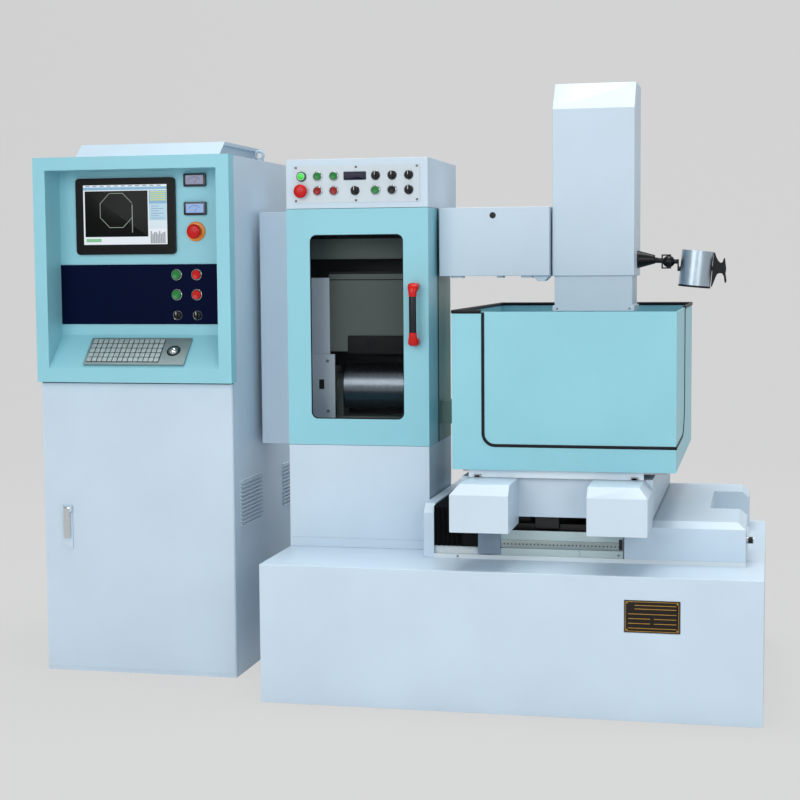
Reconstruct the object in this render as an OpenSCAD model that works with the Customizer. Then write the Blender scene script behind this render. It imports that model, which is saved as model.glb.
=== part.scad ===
/* [Bed] */
// Width of the cast bed, left to right
bed_w = 1410; // [1400:5:1500]
// Depth of the cast bed, front to back
bed_d = 1080; // [1080:5:1200]
// Height of the bed's top above the floor
bed_h = 400; // [340:5:450]
// Wall of the hollow casting
bed_wall = 25; // [15:1:40]
// Top plate of the casting
bed_top = 35; // [20:1:60]

/* [Cross slide] */
// Depth from the bed's front edge to the front of the slide base
slide_front = 200; // [190:5:220]
// Height of the slide base's body
slide_base_h = 73; // [65:1:85]
// Width of the cross slide's carriage
carriage_w = 547; // [530:1:560]
// Left edge of the carriage, from the bed's left edge
carriage_x = 553; // [553:1:565]
// Height of the carriage's body
carriage_h = 114; // [100:1:120]
// Width of each forward arm of the carriage
arm_cover_w = 166; // [140:1:180]
// Width of a guide rail
rail_w = 20; // [12:1:24]
// Height of a guide rail
rail_h = 15; // [10:1:20]

/* [Tank] */
// Width of the splash tank
tank_w = 633; // [600:1:640]
// Depth of the splash tank
tank_d = 903; // [860:1:910]
// Height of the splash tank
tank_h = 450; // [420:1:455]
// Sheet thickness of the tank
tank_wall = 3; // [2:0.5:5]
// Width of the fixed panel left of the lift-off cover
tank_post_w = 89; // [70:1:110]
// Height of the fixed tray below the lift-off cover
tray_h = 70; // [50:1:74]

/* [Wire drum unit] */
// Width of the drum housing
drum_unit_w = 433; // [430:1:434]
// Depth from the bed's front edge to the drum housing's door
drum_front = 322; // [310:1:330]
// Height of the pedestal under the drum housing
pedestal_h = 310; // [300:1:320]
// Depth of the pedestal and of the housing with its door
housing_d = 343; // [335:1:360]
// Height of the drum housing's door
door_h = 708; // [700:1:740]
// Depth of the door's folded edge
door_d = 140; // [120:1:145]
// Radius of the wire drum
drum_r = 72; // [60:1:74]
// Length of the wire drum
drum_len = 195; // [180:1:195]
// Height of the control box
control_h = 146; // [140:1:170]
// Depth of the control box
control_d = 446; // [400:1:500]

/* [Upper works] */
// Length of the upper arm
arm_len = 333; // [325:1:345]
// Height of the upper arm
arm_h = 204; // [190:1:210]
// Width of the head column
column_w = 242; // [236:1:250]
// Depth of the head column
column_d = 230; // [220:1:250]
// Height of the head column
column_h = 571; // [540:1:600]
// Radius of the work lamp's shade
shade_r = 47; // [40:1:50]
// Height of the work lamp's shade
shade_h = 108; // [100:1:120]

/* [Control cabinet] */
// Width of the cabinet
cabinet_w = 615; // [600:5:650]
// Depth of the cabinet behind its door
cabinet_d = 780; // [750:5:800]
// Height of the console front above the door
console_h = 680; // [670:5:700]
// Gap between the cabinet and the bed
cabinet_gap = 155; // [155:1:200]
// Depth from the bed's front edge to the cabinet's door
cabinet_front = 253; // [245:1:260]
// Sheet thickness of the cabinet
cabinet_wall = 4; // [2:0.5:5]
// Height of the door
cabinet_door_h = 885; // [850:5:900]
// Depth of the recess that holds the monitor
recess_d = 107; // [100:1:115]
// Width of the monitor
monitor_w = 322; // [300:1:330]
// Height of the monitor
monitor_h = 233; // [220:1:240]

/* [Hidden] */
$fn = 48;
// Overrun of every cut past the face that it opens
cut = 1;
// Gap between faces of pieces on different bodies
gap = 0.3;
// Radial clearance of a pin or shaft in its bore
fit = 0.05;

// The origin lies in the middle of the whole footprint, on the floor
frame_over = 8;
span_left = cabinet_gap + cabinet_w;
mid_x = (bed_w - span_left) / 2;
mid_y = bed_d / 2;

// Bed casting
bed_rib = 20;
bed_corner = 30;
name_plate_w = 152;
name_plate_h = 90;
name_plate_seat = 2;
name_plate_x_share = 0.7355;
name_plate_z_share = 0.615;

// Slide base on the bed
lip_h = 12;
base_side_gap = 7;
base_setback = 15;
base_right_gap = 52;
slide_d = 845;
end_plate_w = 30;
end_plate_rise = 30;
end_plate_chamfer = 25;
base_x0 = drum_unit_w + base_side_gap;
base_body_x0 = base_x0 + end_plate_w;
base_x1 = bed_w - base_right_gap;
base_y0 = slide_front + base_setback;
base_y1 = slide_front + slide_d;
base_z0 = bed_h + lip_h;
base_z1 = base_z0 + slide_base_h;
right_cover_w = 338;
right_cover_x = base_x1 - right_cover_w;
rail_inset = 30;
screw_inset = 85;
screw_r = 10;
screw_drop = 25;
screw_y = base_y0 + screw_inset;
screw_z = base_z1 - screw_drop;
trough_w = 60;
trough_h = 55;
bearing_w = 40;
knob_r = 9;
knob_l = 16;
motor_w = 76;
motor_l = 110;
motor_back = 40;
cover_clear = 4;
right_chamfer_h = 18;
right_chamfer_d = 22;
right_cover_wall = 3;
slot_w = 109;
slot_start = 287;
slot_d = 378;
scale_x = 125;
scale_t = 7;
scale_low_h = 20;
scale_h = 20;
scale_gap = 3;
scale_hole_r = 2.5;
scale_pitch = 11;
nut_wall = 12;
bearing_l = 30;

// Carriage of the cross slide
carriage_lift = 26;
carriage_back_gap = 10;
block_w = 44;
shoe_lift = 3;
block_l = 70;
block_shares = [0.1, 0.38];
nut_l = 60;
arm_front = 2;
arm_cover_drop = 19;
arm_chamfer_h = 28;
arm_chamfer_d = 24;
apron_x = 47;
apron_w = 65;
apron_t = 5;
apron_drop = 111;
carriage_x1 = carriage_x + carriage_w;
front_clear = 2;
carriage_y0 = slide_front + front_clear;
carriage_y1 = base_y1 - carriage_back_gap;
carriage_z0 = base_z1 + rail_h + carriage_lift;
carriage_z1 = carriage_z0 + carriage_h;
y_rail_inset = 40;
y_rail_back = 20;
y_rail_front = 168;
y_rail_h = 9;
bellows_rise = 30;
bellows_foot = 22;

// Work table and tank
table_plate_t = 8;
table_gap = 8;
skirt_t = 4;
skirt_lift = 0.6;
table_inset = 27;
tank_overhang = 20;
tank_x = carriage_x - tank_overhang;
tank_y = 157;
table_z0 = carriage_z1 + y_rail_h + table_gap;
tank_z = table_z0 + table_plate_t;
tank_x1 = tank_x + tank_w;
tank_y1 = tank_y + tank_d;
tank_z1 = tank_z + tank_h;
cover_side_d = 440;
window_y_shares = [0.2, 0.67];
window_z_shares = [0.16, 0.76];
beam_w = 60;
beam_h = 45;
beam_z_share = 0.44;
beam_y_shares = [0.16, 0.8];
leg_w = 50;
clamp_hole_r = 5;
clamp_x_shares = [0.28, 0.88];
drain_r = 12;
drain_bore_r = 9;

// Drum unit: levels, walls and inner works
housing_wall = 6;
plinth_h = 28;
plinth_out = 1.5;
unit_z0 = bed_h;
door_z0 = unit_z0 + pedestal_h;
door_z1 = door_z0 + door_h;
control_z1 = door_z1 + control_h;
housing_y0 = drum_front + door_d;
housing_y1 = drum_front + housing_d;
door_sheet = 2.5;
window_w_share = 0.66;
window_x_share = 0.165;
window_h_share = 0.778;
window_z_share = 0.112;
window_r = 20;
glass_t = 5;
glass_lap = 10;
hinge_r = 9;
hinge_pin_r = 5;
hinge_l = 40;
hinge_out = 10;
hinge_z_shares = [0.14, 0.86];
handle_x_share = 0.91;
handle_z_shares = [0.42, 0.69];
handle_w = 22;
handle_out = 55;
handle_bar_t = 16;
handle_foot = 36;
side_cover_w = 133;
side_cover_back = 16;
side_cover_d = 160;
side_cover_drop = 15;
side_cover_top = 4;
side_cover_wall = 2;
motor_r = 62;
motor_body_l = 150;
shaft_r = 12.5;
shaft_back = 85;
shaft_y = housing_y0 + shaft_back;
shaft_rise = 165;
shaft_z = door_z0 + shaft_rise;
drum_x = 132;
drum_wall = 6;
bracket_w = 22;
bracket_gap = 10;
bracket_r = 38;
carriage_plate_t = 20;
drum_rail_h = 16;
drum_floor_t = 30;
shaft_left = 30;
shaft_right = 8;
post_x = 25;
post_w = 83;
post_t = 10;
post_h = 230;
post_top_w = 68;
post_top_h = 235;
guide_bar_h = 43;
guide_bar_z = 275;
guide_bar_w = 327;
back_plate_h = 201;
back_plate_t = 6;
boss_x = 229;
bench_rail_out = 45;
bench_rail_x = 40;
disc_hole_r = 14;
disc_hole_out = 44;
door_gap = 1;
motor_clear = 5;
wheel_r = 22;
wheel_w = 12;
axle_r = 5;

// Upper works
arm_gap = 12;
arm_flange_inset = 15;
arm_d = 200;
arm_wall = 12;
arm_setback = 104;
arm_y = drum_front + arm_setback;
arm_x0 = drum_unit_w + arm_gap;
arm_x1 = arm_x0 + arm_len;
arm_z1 = door_z1;
arm_z0 = arm_z1 - arm_h;
arm_flange_y = housing_y0 + arm_flange_inset;
arm_flange_d = 130;
fitting_h = 6;
fitting_d = 36;
guide_d = 60;
fitting_shares = [[0.1, 0.11], [0.52, 0.06], [0.74, 0.1]];
guide_h = 16;
guide_share = 0.84;
guide_w_share = 0.16;
column_gap = 5;
column_x = arm_x1 + column_gap;
column_back = 26;
column_y = arm_y + column_back;
column_drop = 2;
column_z0 = arm_z0 - column_drop;
column_z1 = column_z0 + column_h;
column_slope_h = 79;
column_slope_d = 60;
column_wall = 4;
spine_t = 30;
ram_clear = 2;
ram_drop = 88;
ram_inner_h = 200;
ram_wall = 12;
ram_d = 176;
flange_t = 16;
flange_out = 6;
head_w = 70;
head_h = 38;
lower_arm_w = 80;
lower_arm_h = 70;
lower_arm_y = 505;
lower_arm_z = 762;
guide_post_h = 30;

// Work lamp on the column's right side
lamp_y_share = 0.56;
lamp_y = column_y + column_d * lamp_y_share;
clevis_t = 4;
clevis_w = 14;
neck_r = 7;
yoke_reach = 78;
bulb_neck_l = 22;
bulb_neck_r = 11;
bulb_r = 20;
lamp_z = 1260;
cone_r1 = 27;
cone_r2 = 13;
cone_l = 52;
rod_r = 4.5;
ball_r = 17;
ball_x = 1118;
ball_z = 1253;
shade_x = 1199;
shade_z = 1231;
shade_wall = 3;
shade_tilt = 5.5;
yoke_w = 14;
yoke_t = 4;
yoke_gap = 4;
pivot_r = 5;
wing_r = 12;
wing_l = 16;

// Control box panel
panel_t = 3;
panel_w_share = 0.89;
panel_x_share = 0.055;
panel_h_share = 0.755;
panel_z_share = 0.115;
column_shares = [0.067, 0.197, 0.326, 0.492, 0.655, 0.785, 0.915];
row_shares = [0.315, 0.71];
button_r = 11;
button_out = 10;
shank_r = 7.5;
shank_hole_r = 8;
shank_l = 14;
mushroom_r = 19;
mushroom_out = 24;
travel = 4;
display_w = 68;
display_h = 24;
display_out = 2;
knob_out = 16;
panel_screw_r = 3;
panel_rim = 8;
panel_screw_in = 6;
screw_head_out = 1.5;

// Cabinet
cabinet_x1 = -cabinet_gap;
cabinet_x0 = cabinet_x1 - cabinet_w;
door_t = 18;
cabinet_y0 = cabinet_front + door_t;
cabinet_y1 = cabinet_y0 + cabinet_d;
sill_h = 10;
jamb_w = 30;

pivot_pin_r = 4;
pivot_pin_l = 5;
door_lip = 20;
door_skin = 3;
frame_out = 30;
door_head_gap = 5;
frame_z0 = sill_h + cabinet_door_h + door_head_gap;
cabinet_h = frame_z0 + console_h;
frame_y0 = cabinet_front - frame_out;
recess_left = 39;
recess_right = 40;
recess_top = 39;
recess_bottom = 42;
tub_wall = 5;
recess_x0 = cabinet_x0 + recess_left;
recess_x1 = cabinet_x1 + frame_over - recess_right;
recess_z0 = frame_z0 + recess_bottom;
recess_z1 = cabinet_h - recess_top;
recess_y1 = frame_y0 + recess_d;
shelf_rise = 98;
recess_w = recess_x1 - recess_x0;
panel2_z_share = 0.219;
panel2_h = 183;
panel2_t = 3;
panel2_z = recess_z0 + (recess_z1 - recess_z0) * panel2_z_share;
monitor_x_share = 0.106;
monitor_rise = 31;
monitor_t = 12;
monitor_corner = 12;
screen_w_share = 0.845;
screen_h_share = 0.78;
screen_x_share = 0.077;
screen_z_share = 0.13;
meter_w = 71;
meter_h = 40;
meter_t = 10;
dial_r = 13;
meter_x_share = 0.814;
meter_z_shares = [0.588, 0.957];
button2_x_shares = [0.698, 0.816];
button2_z_shares = [0.148, 0.492, 0.825];
button2_r = 14;
stop_x_share = 0.814;
stop_z_share = 0.29;
stop_ring_r = 30;
stop_ring_t = 6;
stop_r = 22;
stop_out = 30;
keyboard_w = 323;
keyboard_l = 112;
keyboard_t = 9;
keyboard_x_share = 0.2;
keyboard_start = 12;
key_rows = 5;
key_cols = 14;
key_gap = 3;
key_lift = 2.5;
key_base_t = 1.5;
key_floor = 3;
key_travel = 2.5;
key_area_share = 0.72;
key_pad = 8;
ball_share = 0.86;
track_r = 16;
louvre_n = 12;
louvre_l = 217;
louvre_h = 6;
louvre_pitch = 12;
louvre_z = 458;
louvre_starts = [42, 489];
latch_w = 30;
latch_h = 135;
latch_x = 62;
latch_z = 382;
latch_t = 5;
ear_w = 5;
ear_h = 18;
lever_pin_in = 8;
lever_pin_r = 3;
lever_h = 92;
lever_t = 9;
ball_sink = 5;
ball_gap = 0.5;
cowl_x0 = 122;
cowl_w = 460;
cowl_d = 440;
cowl_h = 42;
cowl_slope = 55;
cowl_inset = 14;
cowl_slot = 32;
eye_r = 13;
eye_rod_r = 4.5;
eye_collar_r = 14;
eye_collar_h = 6;
eye_x = 18;
eye_shares = [0.44, 0.9];
gland_r = 18;
gland_bore_r = 9;
gland_l = 28;
gland_z = 150;
shelf_t = 6;
shelf_shares = [0.04, 0.3, 0.5];
unit_size_shares = [[0.6, 0.5, 0.14], [0.8, 0.6, 0.13], [0.7, 0.5, 0.07]];
rack_setback = 200;
rack_inset = 30;
louvre_out = 7;
louvre_skin = 2;
louvre_slot = 3;
cowl_front = 9;
keyhole_x_share = 0.592;
keyhole_z_share = 0.11;

// Places of the four shoes under the table and of the frame inside the tank
beam_y0 = tank_y + tank_d * beam_y_shares[0] - beam_w / 2;
beam_y1 = tank_y + tank_d * beam_y_shares[1] - beam_w / 2;
beam_z = tank_z + tank_h * beam_z_share;
beam_x0 = tank_x + table_inset;
beam_x1 = tank_x1 - table_inset;

// Wire guide wheels hang in a fork: places shared by the arm, the ram and both wheels
wheel_x = column_x + column_w / 2 - wheel_r;
wheel_y = lower_arm_y + lower_arm_w / 2;
upper_wheel_z = column_z0 - ram_drop - flange_t - head_h;
lower_wheel_z = lower_arm_z + lower_arm_h + guide_post_h;
fork_t = 8;
fork_w = 30;

// Places of the controls on the control box and on the cabinet's switch panel
panel_front = drum_front - panel_t;
switch_front = recess_y1 - panel2_t;
bezel_w = 3;
bezel_out = 5;
cap_t = 14;
grip_w = 6;
grip_t = 10;
shelf_angle = atan2(shelf_rise, recess_d);
monitor_z = panel2_z + panel2_h + monitor_rise;
stop_z = monitor_z + monitor_h * stop_z_share;
keyboard_x = recess_x0 + recess_w * keyboard_x_share;
key_area_w = keyboard_w * key_area_share;
key_area_l = keyboard_l - 2 * key_pad;
track_x = keyboard_x + keyboard_w * ball_share;
track_y = keyboard_start + keyboard_l / 2;
cabinet_hinge_x = cabinet_x1 - door_t / 2;
cabinet_hinge_y = cabinet_front + door_t / 2;
door_top_z = sill_h + cabinet_door_h;
function panel_x(i) = drum_unit_w * (panel_x_share + panel_w_share * column_shares[i]);
function panel_z(j) = door_z1 + control_h * (panel_z_share + panel_h_share * row_shares[j]);
function switch_x(i) = recess_x0 + recess_w * button2_x_shares[i];
function switch_z(j) = panel2_z + panel2_h * button2_z_shares[j];

// Moves a piece from the bed's front left corner to the part's own origin
module place() {
    translate([-mid_x, -mid_y, 0]) children();
}

// Box between two corners
module block(x0, x1, y0, y1, z0, z1) {
    translate([x0, y0, z0]) cube([x1 - x0, y1 - y0, z1 - z0]);
}

// Cylinders along each axis
module x_cylinder(x0, x1, y, z, r) {
    translate([x0, y, z]) rotate([0, 90, 0]) cylinder(h = x1 - x0, r = r);
}

module y_cylinder(x, y0, y1, z, r) {
    translate([x, y0, z]) rotate([-90, 0, 0]) cylinder(h = y1 - y0, r = r);
}

module z_cylinder(x, y, z0, z1, r) {
    translate([x, y, z0]) cylinder(h = z1 - z0, r = r);
}

// Outline in Y and Z carried along X
module along_x(x0, x1) {
    translate([x0, 0, 0]) rotate([90, 0, 90]) linear_extrude(height = x1 - x0) children();
}

// Outline in X and Z carried along Y
module along_y(y0, y1) {
    translate([0, y1, 0]) rotate([90, 0, 0]) linear_extrude(height = y1 - y0) children();
}

// Flat rectangle with round corners
module round_rect(x0, x1, z0, z1, r) {
    translate([x0 + r, z0]) square([x1 - x0 - 2 * r, z1 - z0]);
    translate([x0, z0 + r]) square([x1 - x0, z1 - z0 - 2 * r]);
    for (x = [x0 + r, x1 - r], z = [z0 + r, z1 - r]) translate([x, z]) circle(r = r);
}

// Cast bed, open below, with one rib that splits its inside
module bed() {
    inner_z = bed_h - bed_top;
    rib_x = (bed_w - bed_rib) / 2;
    plate_x = bed_w * name_plate_x_share;
    plate_z = bed_h * name_plate_z_share;
    color("lightsteelblue") place() difference() {
        linear_extrude(height = bed_h) polygon([
            [0, 0], [bed_w, 0], [bed_w, bed_d - bed_corner], [bed_w - bed_corner, bed_d], [0, bed_d]
        ]);
        block(bed_wall, rib_x, bed_wall, bed_d - bed_wall, -cut, inner_z);
        block(rib_x + bed_rib, bed_w - bed_wall, bed_wall, bed_d - bed_wall - bed_corner,
            -cut, inner_z);
        block(plate_x, plate_x + name_plate_w, -cut, name_plate_seat, plate_z,
            plate_z + name_plate_h);
    }
}

// Slide base on the bed: lip, body with screw trough, two rails, motor and front scale
module x_base() {
    low_z1 = base_z0 + scale_low_h;
    mid_z0 = low_z1 + scale_gap;
    mid_z1 = mid_z0 + scale_h;
    strip_x0 = base_body_x0 + apron_x + scale_x;
    strip_x1 = right_cover_x - cover_clear;
    strip_y0 = base_y0 - scale_t;
    motor_x1 = base_x1 - motor_back;
    color("gainsboro") place() difference() {
        union() {
            block(base_body_x0, base_x1, slide_front, base_y1, bed_h, base_z0);
            block(base_body_x0, right_cover_x - cut, base_y0, base_y1 - base_setback,
                bed_h, base_z1);
            for (y = [base_y0 + rail_inset, base_y1 - base_setback - rail_inset - rail_w])
                block(base_body_x0, right_cover_x - cover_clear, y, y + rail_w,
                    base_z1 - cut, base_z1 + rail_h);
        }
        block(base_body_x0 + bearing_l, right_cover_x, screw_y - trough_w / 2,
            screw_y + trough_w / 2, base_z1 - trough_h, base_z1 + cut);
        x_cylinder(base_body_x0 - cut, base_body_x0 + bearing_l + cut, screw_y, screw_z,
            screw_r + fit);
    }
    color("darkseagreen") place() {
        block(strip_x0, strip_x1, strip_y0, base_y0, base_z0, low_z1);
        difference() {
            block(strip_x0, strip_x1, strip_y0, base_y0, mid_z0, mid_z1);
            for (x = [strip_x0 + scale_pitch : scale_pitch : strip_x1 - scale_pitch])
                y_cylinder(x, strip_y0 - cut, strip_y0 + scale_gap, (mid_z0 + mid_z1) / 2,
                    scale_hole_r);
        }
        block(strip_x0, strip_x1, strip_y0, base_y0, mid_z1 + scale_gap, base_z1);
    }
    color("dimgray") place() difference() {
        block(motor_x1 - motor_l, motor_x1, screw_y - motor_w / 2, screw_y + motor_w / 2,
            base_z0, screw_z + motor_w / 2);
        x_cylinder(motor_x1 - motor_l - cut, motor_x1 + cut, screw_y, screw_z, screw_r + fit);
    }
}

// Covers over both ends of the slide base: left end plate and slotted right cover
module way_covers() {
    plate_z1 = base_z1 + rail_h + carriage_lift + end_plate_rise;
    top_z = carriage_z0 - cover_clear;
    front_y = slide_front;
    slot_y0 = front_y + slot_start;
    color("lightsteelblue") place() {
        along_x(base_x0, base_body_x0) polygon([
            [front_y, bed_h], [front_y, plate_z1 - end_plate_chamfer],
            [front_y + end_plate_chamfer, plate_z1], [base_y1, plate_z1], [base_y1, bed_h]
        ]);
        difference() {
            intersection() {
                along_x(right_cover_x, base_x1) polygon([
                    [front_y, base_z0], [front_y, top_z - right_chamfer_h],
                    [front_y + right_chamfer_d, top_z], [base_y1, top_z], [base_y1, base_z0]
                ]);
                along_y(front_y, base_y1) polygon([
                    [right_cover_x, base_z0], [right_cover_x, top_z],
                    [base_x1 - right_chamfer_d, top_z], [base_x1, top_z - right_chamfer_h],
                    [base_x1, base_z0]
                ]);
            }
            block(right_cover_x - cut, base_x1 - slot_w - right_cover_wall,
                front_y + right_cover_wall, base_y1 - right_cover_wall,
                base_z0 - cut, top_z - right_chamfer_h - right_cover_wall);
            block(base_x1 - slot_w - cut - right_cover_wall, base_x1 - right_cover_wall,
                front_y + right_cover_wall, slot_y0 - right_cover_wall,
                base_z0 - cut, top_z - right_chamfer_h - right_cover_wall);
            block(base_x1 - slot_w - cut - right_cover_wall, base_x1 - right_cover_wall,
                slot_y0 + slot_d + right_cover_wall, base_y1 - right_cover_wall,
                base_z0 - cut, top_z - right_chamfer_h - right_cover_wall);
            block(base_x1 - slot_w, base_x1 + cut, slot_y0, slot_y0 + slot_d,
                base_z0 - cut, top_z + cut);
            x_cylinder(base_x1 - right_cover_wall - cut, base_x1 + cut, screw_y, screw_z,
                screw_r + gap);
        }
    }
}

// Pleated way cover between the end plate and the carriage
module x_bellows() {
    x0 = base_body_x0 + gap;
    low_z = carriage_z0 - front_clear;
    high_z = carriage_z0 + bellows_rise - front_clear * 2;
    inner_y0 = base_y0 - gap * 2;
    inner_z = base_z1 + rail_h + gap * 2;
    color("black") place() {
        difference() {
            block(x0, carriage_x + apron_x - gap, slide_front, base_y1,
                base_z0 + bellows_foot, low_z);
            block(x0 - cut, carriage_x + apron_x + cut, inner_y0,
                base_y1 - base_setback + gap * 2, bed_h, inner_z);
        }
        block(x0, carriage_x - gap, slide_front, base_y1, low_z, high_z);
    }
}

// Lead screw along X with the hand knob on its right end
module x_screw() {
    knob_x = base_x1 + cover_clear;
    color("silver") place() {
        x_cylinder(base_body_x0 + gap, knob_x + cut, screw_y, screw_z, screw_r);
        x_cylinder(knob_x, knob_x + knob_l, screw_y, screw_z, knob_r);
    }
}

// Bearing block that straddles a rail along X or Y, under a plate
module rail_shoe(size_x, size_y, top_h, rise, along_rail_x) {
    groove = rail_w + 2 * gap;
    difference() {
        cube([size_x, size_y, top_h]);
        if (along_rail_x) translate([-cut, (size_y - groove) / 2, -cut])
            cube([size_x + 2 * cut, groove, rise - shoe_lift + gap + cut]);
        else translate([(size_x - groove) / 2, -cut, -cut])
            cube([groove, size_y + 2 * cut, rise - shoe_lift + gap + cut]);
    }
}

// Carriage: body on four shoes, two forward arms, screw nut, apron and two rails
module x_carriage() {
    arm_z0 = carriage_z0 - arm_cover_drop;
    arm_y1 = carriage_y0 + cut;
    nut_x = carriage_x + carriage_w * (block_shares[0] + block_shares[1]) / 2;
    rail_y0 = arm_front + y_rail_front;
    rail_x0 = carriage_x + y_rail_inset;
    rail_x1 = carriage_x1 - y_rail_inset - rail_w;
    shoe_y = base_y0 + rail_inset + rail_w / 2;
    shoe_y_back = base_y1 - base_setback - rail_inset - rail_w / 2;
    color("lightsteelblue") place() {
        difference() {
            union() {
                block(carriage_x, carriage_x1, carriage_y0, carriage_y1, carriage_z0, carriage_z1);
                intersection() {
                    along_x(carriage_x, carriage_x1) polygon([
                        [arm_front, arm_z0], [arm_front, carriage_z1 - arm_chamfer_h],
                        [arm_front + arm_chamfer_d, carriage_z1], [arm_y1, carriage_z1],
                        [arm_y1, arm_z0]
                    ]);
                    along_y(arm_front, arm_y1) polygon([
                        [carriage_x, arm_z0], [carriage_x, carriage_z1 - arm_chamfer_h],
                        [carriage_x + arm_chamfer_d, carriage_z1],
                        [carriage_x1 - arm_chamfer_d, carriage_z1],
                        [carriage_x1, carriage_z1 - arm_chamfer_h], [carriage_x1, arm_z0]
                    ]);
                }
            }
            block(carriage_x + arm_cover_w, carriage_x1 - arm_cover_w, arm_front - cut,
                carriage_y0, arm_z0 - cut, carriage_z1 + cut);
            block(carriage_x - cut, carriage_x1 + cut, slide_front - front_clear, arm_y1 + cut,
                arm_z0 - cut, carriage_z0);
        }
        for (share = block_shares, y = [shoe_y, shoe_y_back])
            translate([carriage_x + carriage_w * share, y - block_w / 2, base_z1 + shoe_lift])
                rail_shoe(block_l, block_w, carriage_z0 - base_z1 - shoe_lift, rail_h, true);
        difference() {
            block(nut_x, nut_x + nut_l, screw_y - bearing_w / 2, screw_y + bearing_w / 2,
                screw_z - screw_r - nut_wall, carriage_z0);
            x_cylinder(nut_x - cut, nut_x + nut_l + cut, screw_y, screw_z, screw_r + fit);
        }
    }
    color("slategray") place()
        block(carriage_x + apron_x, carriage_x + apron_x + apron_w, carriage_y0,
            carriage_y0 + apron_t, carriage_z0 - apron_drop, carriage_z0);
    color("silver") place() for (x = [rail_x0, rail_x1])
        block(x, x + rail_w, rail_y0, carriage_y1 - y_rail_back, carriage_z1,
            carriage_z1 + y_rail_h);
}

// Sliding table: plate on shoes under the tank, and the clamping frame that stands in it
module work_table() {
    shoe_h = table_z0 - carriage_z1 - shoe_lift;
    rail_mid0 = carriage_x + y_rail_inset + rail_w / 2;
    rail_mid1 = carriage_x1 - y_rail_inset - rail_w / 2;
    floor_z = tank_z + tank_wall;
    notch = rail_w / 2 + 2 * gap;
    skirt_y = tank_y + table_inset - skirt_t;
    color("silver") place() {
        difference() {
            union() {
                block(tank_x + table_inset, tank_x1 - table_inset, tank_y + table_inset,
                    tank_y1 - table_inset, table_z0, tank_z);
                block(carriage_x + arm_chamfer_d, carriage_x1 - arm_chamfer_d, skirt_y,
                    tank_y + table_inset + cut, carriage_z1 + skirt_lift, tank_z);
            }
            for (x = [rail_mid0, rail_mid1])
                block(x - notch, x + notch, skirt_y - cut, tank_y + table_inset + 2 * cut,
                    carriage_z1 + skirt_lift - cut, carriage_z1 + y_rail_h + skirt_lift);
        }
        for (x = [rail_mid0, rail_mid1], y = [beam_y0 + beam_w, beam_y1 - block_l])
            translate([x - block_w / 2, y, carriage_z1 + shoe_lift])
                rail_shoe(block_w, block_l, shoe_h, y_rail_h, false);
    }
    color("silver") place() difference() {
        union() {
            block(beam_x0, beam_x1, beam_y0, beam_y0 + beam_w, beam_z - beam_h, beam_z);
            block(beam_x0, beam_x1, beam_y1, beam_y1 + beam_w, beam_z - beam_h, beam_z);
            block(beam_x1 - beam_w, beam_x1, beam_y0, beam_y1 + beam_w, beam_z - beam_h, beam_z);
            for (x = [beam_x0, beam_x1 - leg_w], y = [beam_y0, beam_y1 + beam_w - leg_w])
                block(x, x + leg_w, y, y + leg_w, floor_z, beam_z - beam_h + cut);
        }
        for (x = clamp_x_shares, y = [beam_y0, beam_y1])
            z_cylinder(tank_x + tank_w * x, y + beam_w / 2, beam_z - beam_h - cut, beam_z + cut,
                clamp_hole_r);
    }
}

// Sheet tank: tray, fixed walls, cut-out for the cover, arm window and drain
module tank() {
    t = tank_wall;
    tray_z = tank_z + tray_h;
    post_x = tank_x + tank_post_w;
    side_y = tank_y + cover_side_d;
    drain_x = tank_x1 - table_inset * 2;
    drain_z = tank_z + table_inset;
    color("skyblue") place() difference() {
        union() {
            block(tank_x, tank_x1, tank_y, tank_y1, tank_z, tank_z1);
            y_cylinder(drain_x, tank_y1 - cut, tank_y1 + bed_corner / 2, drain_z, drain_r);
        }
        block(tank_x + t, tank_x1 - t, tank_y + t, tank_y1 - t, tank_z + t, tank_z1 + cut);
        block(post_x, tank_x1 + cut, tank_y - cut, tank_y + t + cut, tray_z, tank_z1 + cut);
        block(tank_x1 - t - cut, tank_x1 + cut, tank_y - cut, side_y, tray_z, tank_z1 + cut);
        block(tank_x - cut, tank_x + t + cut, tank_y + tank_d * window_y_shares[0],
            tank_y + tank_d * window_y_shares[1], tank_z + tank_h * window_z_shares[0],
            tank_z + tank_h * window_z_shares[1]);
        y_cylinder(drain_x, tank_y1 - t - cut, tank_y1 + bed_corner, drain_z, drain_bore_r);
    }
}

// Angled splash cover that closes the tank's front and right side
module splash_cover() {
    t = tank_wall;
    z0 = tank_z + tray_h + gap;
    color("skyblue") place() difference() {
        block(tank_x + tank_post_w + gap, tank_x1, tank_y, tank_y + cover_side_d - gap,
            z0, tank_z1);
        block(tank_x + tank_post_w - cut, tank_x1 - t, tank_y + t, tank_y + cover_side_d + cut,
            z0 - cut, tank_z1 + cut);
    }
}

// Fork with its axle, between two heights that reach from the axle to its seat
module wheel_fork(axle_z, seat_z) {
    y0 = wheel_y - wheel_w / 2 - gap;
    y1 = wheel_y + wheel_w / 2 + gap;
    low = min(axle_z - axle_r * 2, seat_z);
    high = max(axle_z + axle_r * 2, seat_z);
    block(wheel_x - fork_w / 2, wheel_x + fork_w / 2, y0 - fork_t, y0, low, high);
    block(wheel_x - fork_w / 2, wheel_x + fork_w / 2, y1, y1 + fork_t, low, high);
    y_cylinder(wheel_x, y0 - fork_t / 2, y1 + fork_t / 2, axle_z, axle_r);
}

// Grooved guide wheel
module guide_wheel(axle_z) {
    groove = wheel_w / 4;
    half = wheel_w / 2;
    place() translate([wheel_x, wheel_y, axle_z]) rotate([90, 0, 0]) rotate_extrude() polygon([
        [axle_r + fit, -half], [wheel_r, -half], [wheel_r, -groove], [wheel_r - groove, 0],
        [wheel_r, groove], [wheel_r, half], [axle_r + fit, half]
    ]);
}

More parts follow.
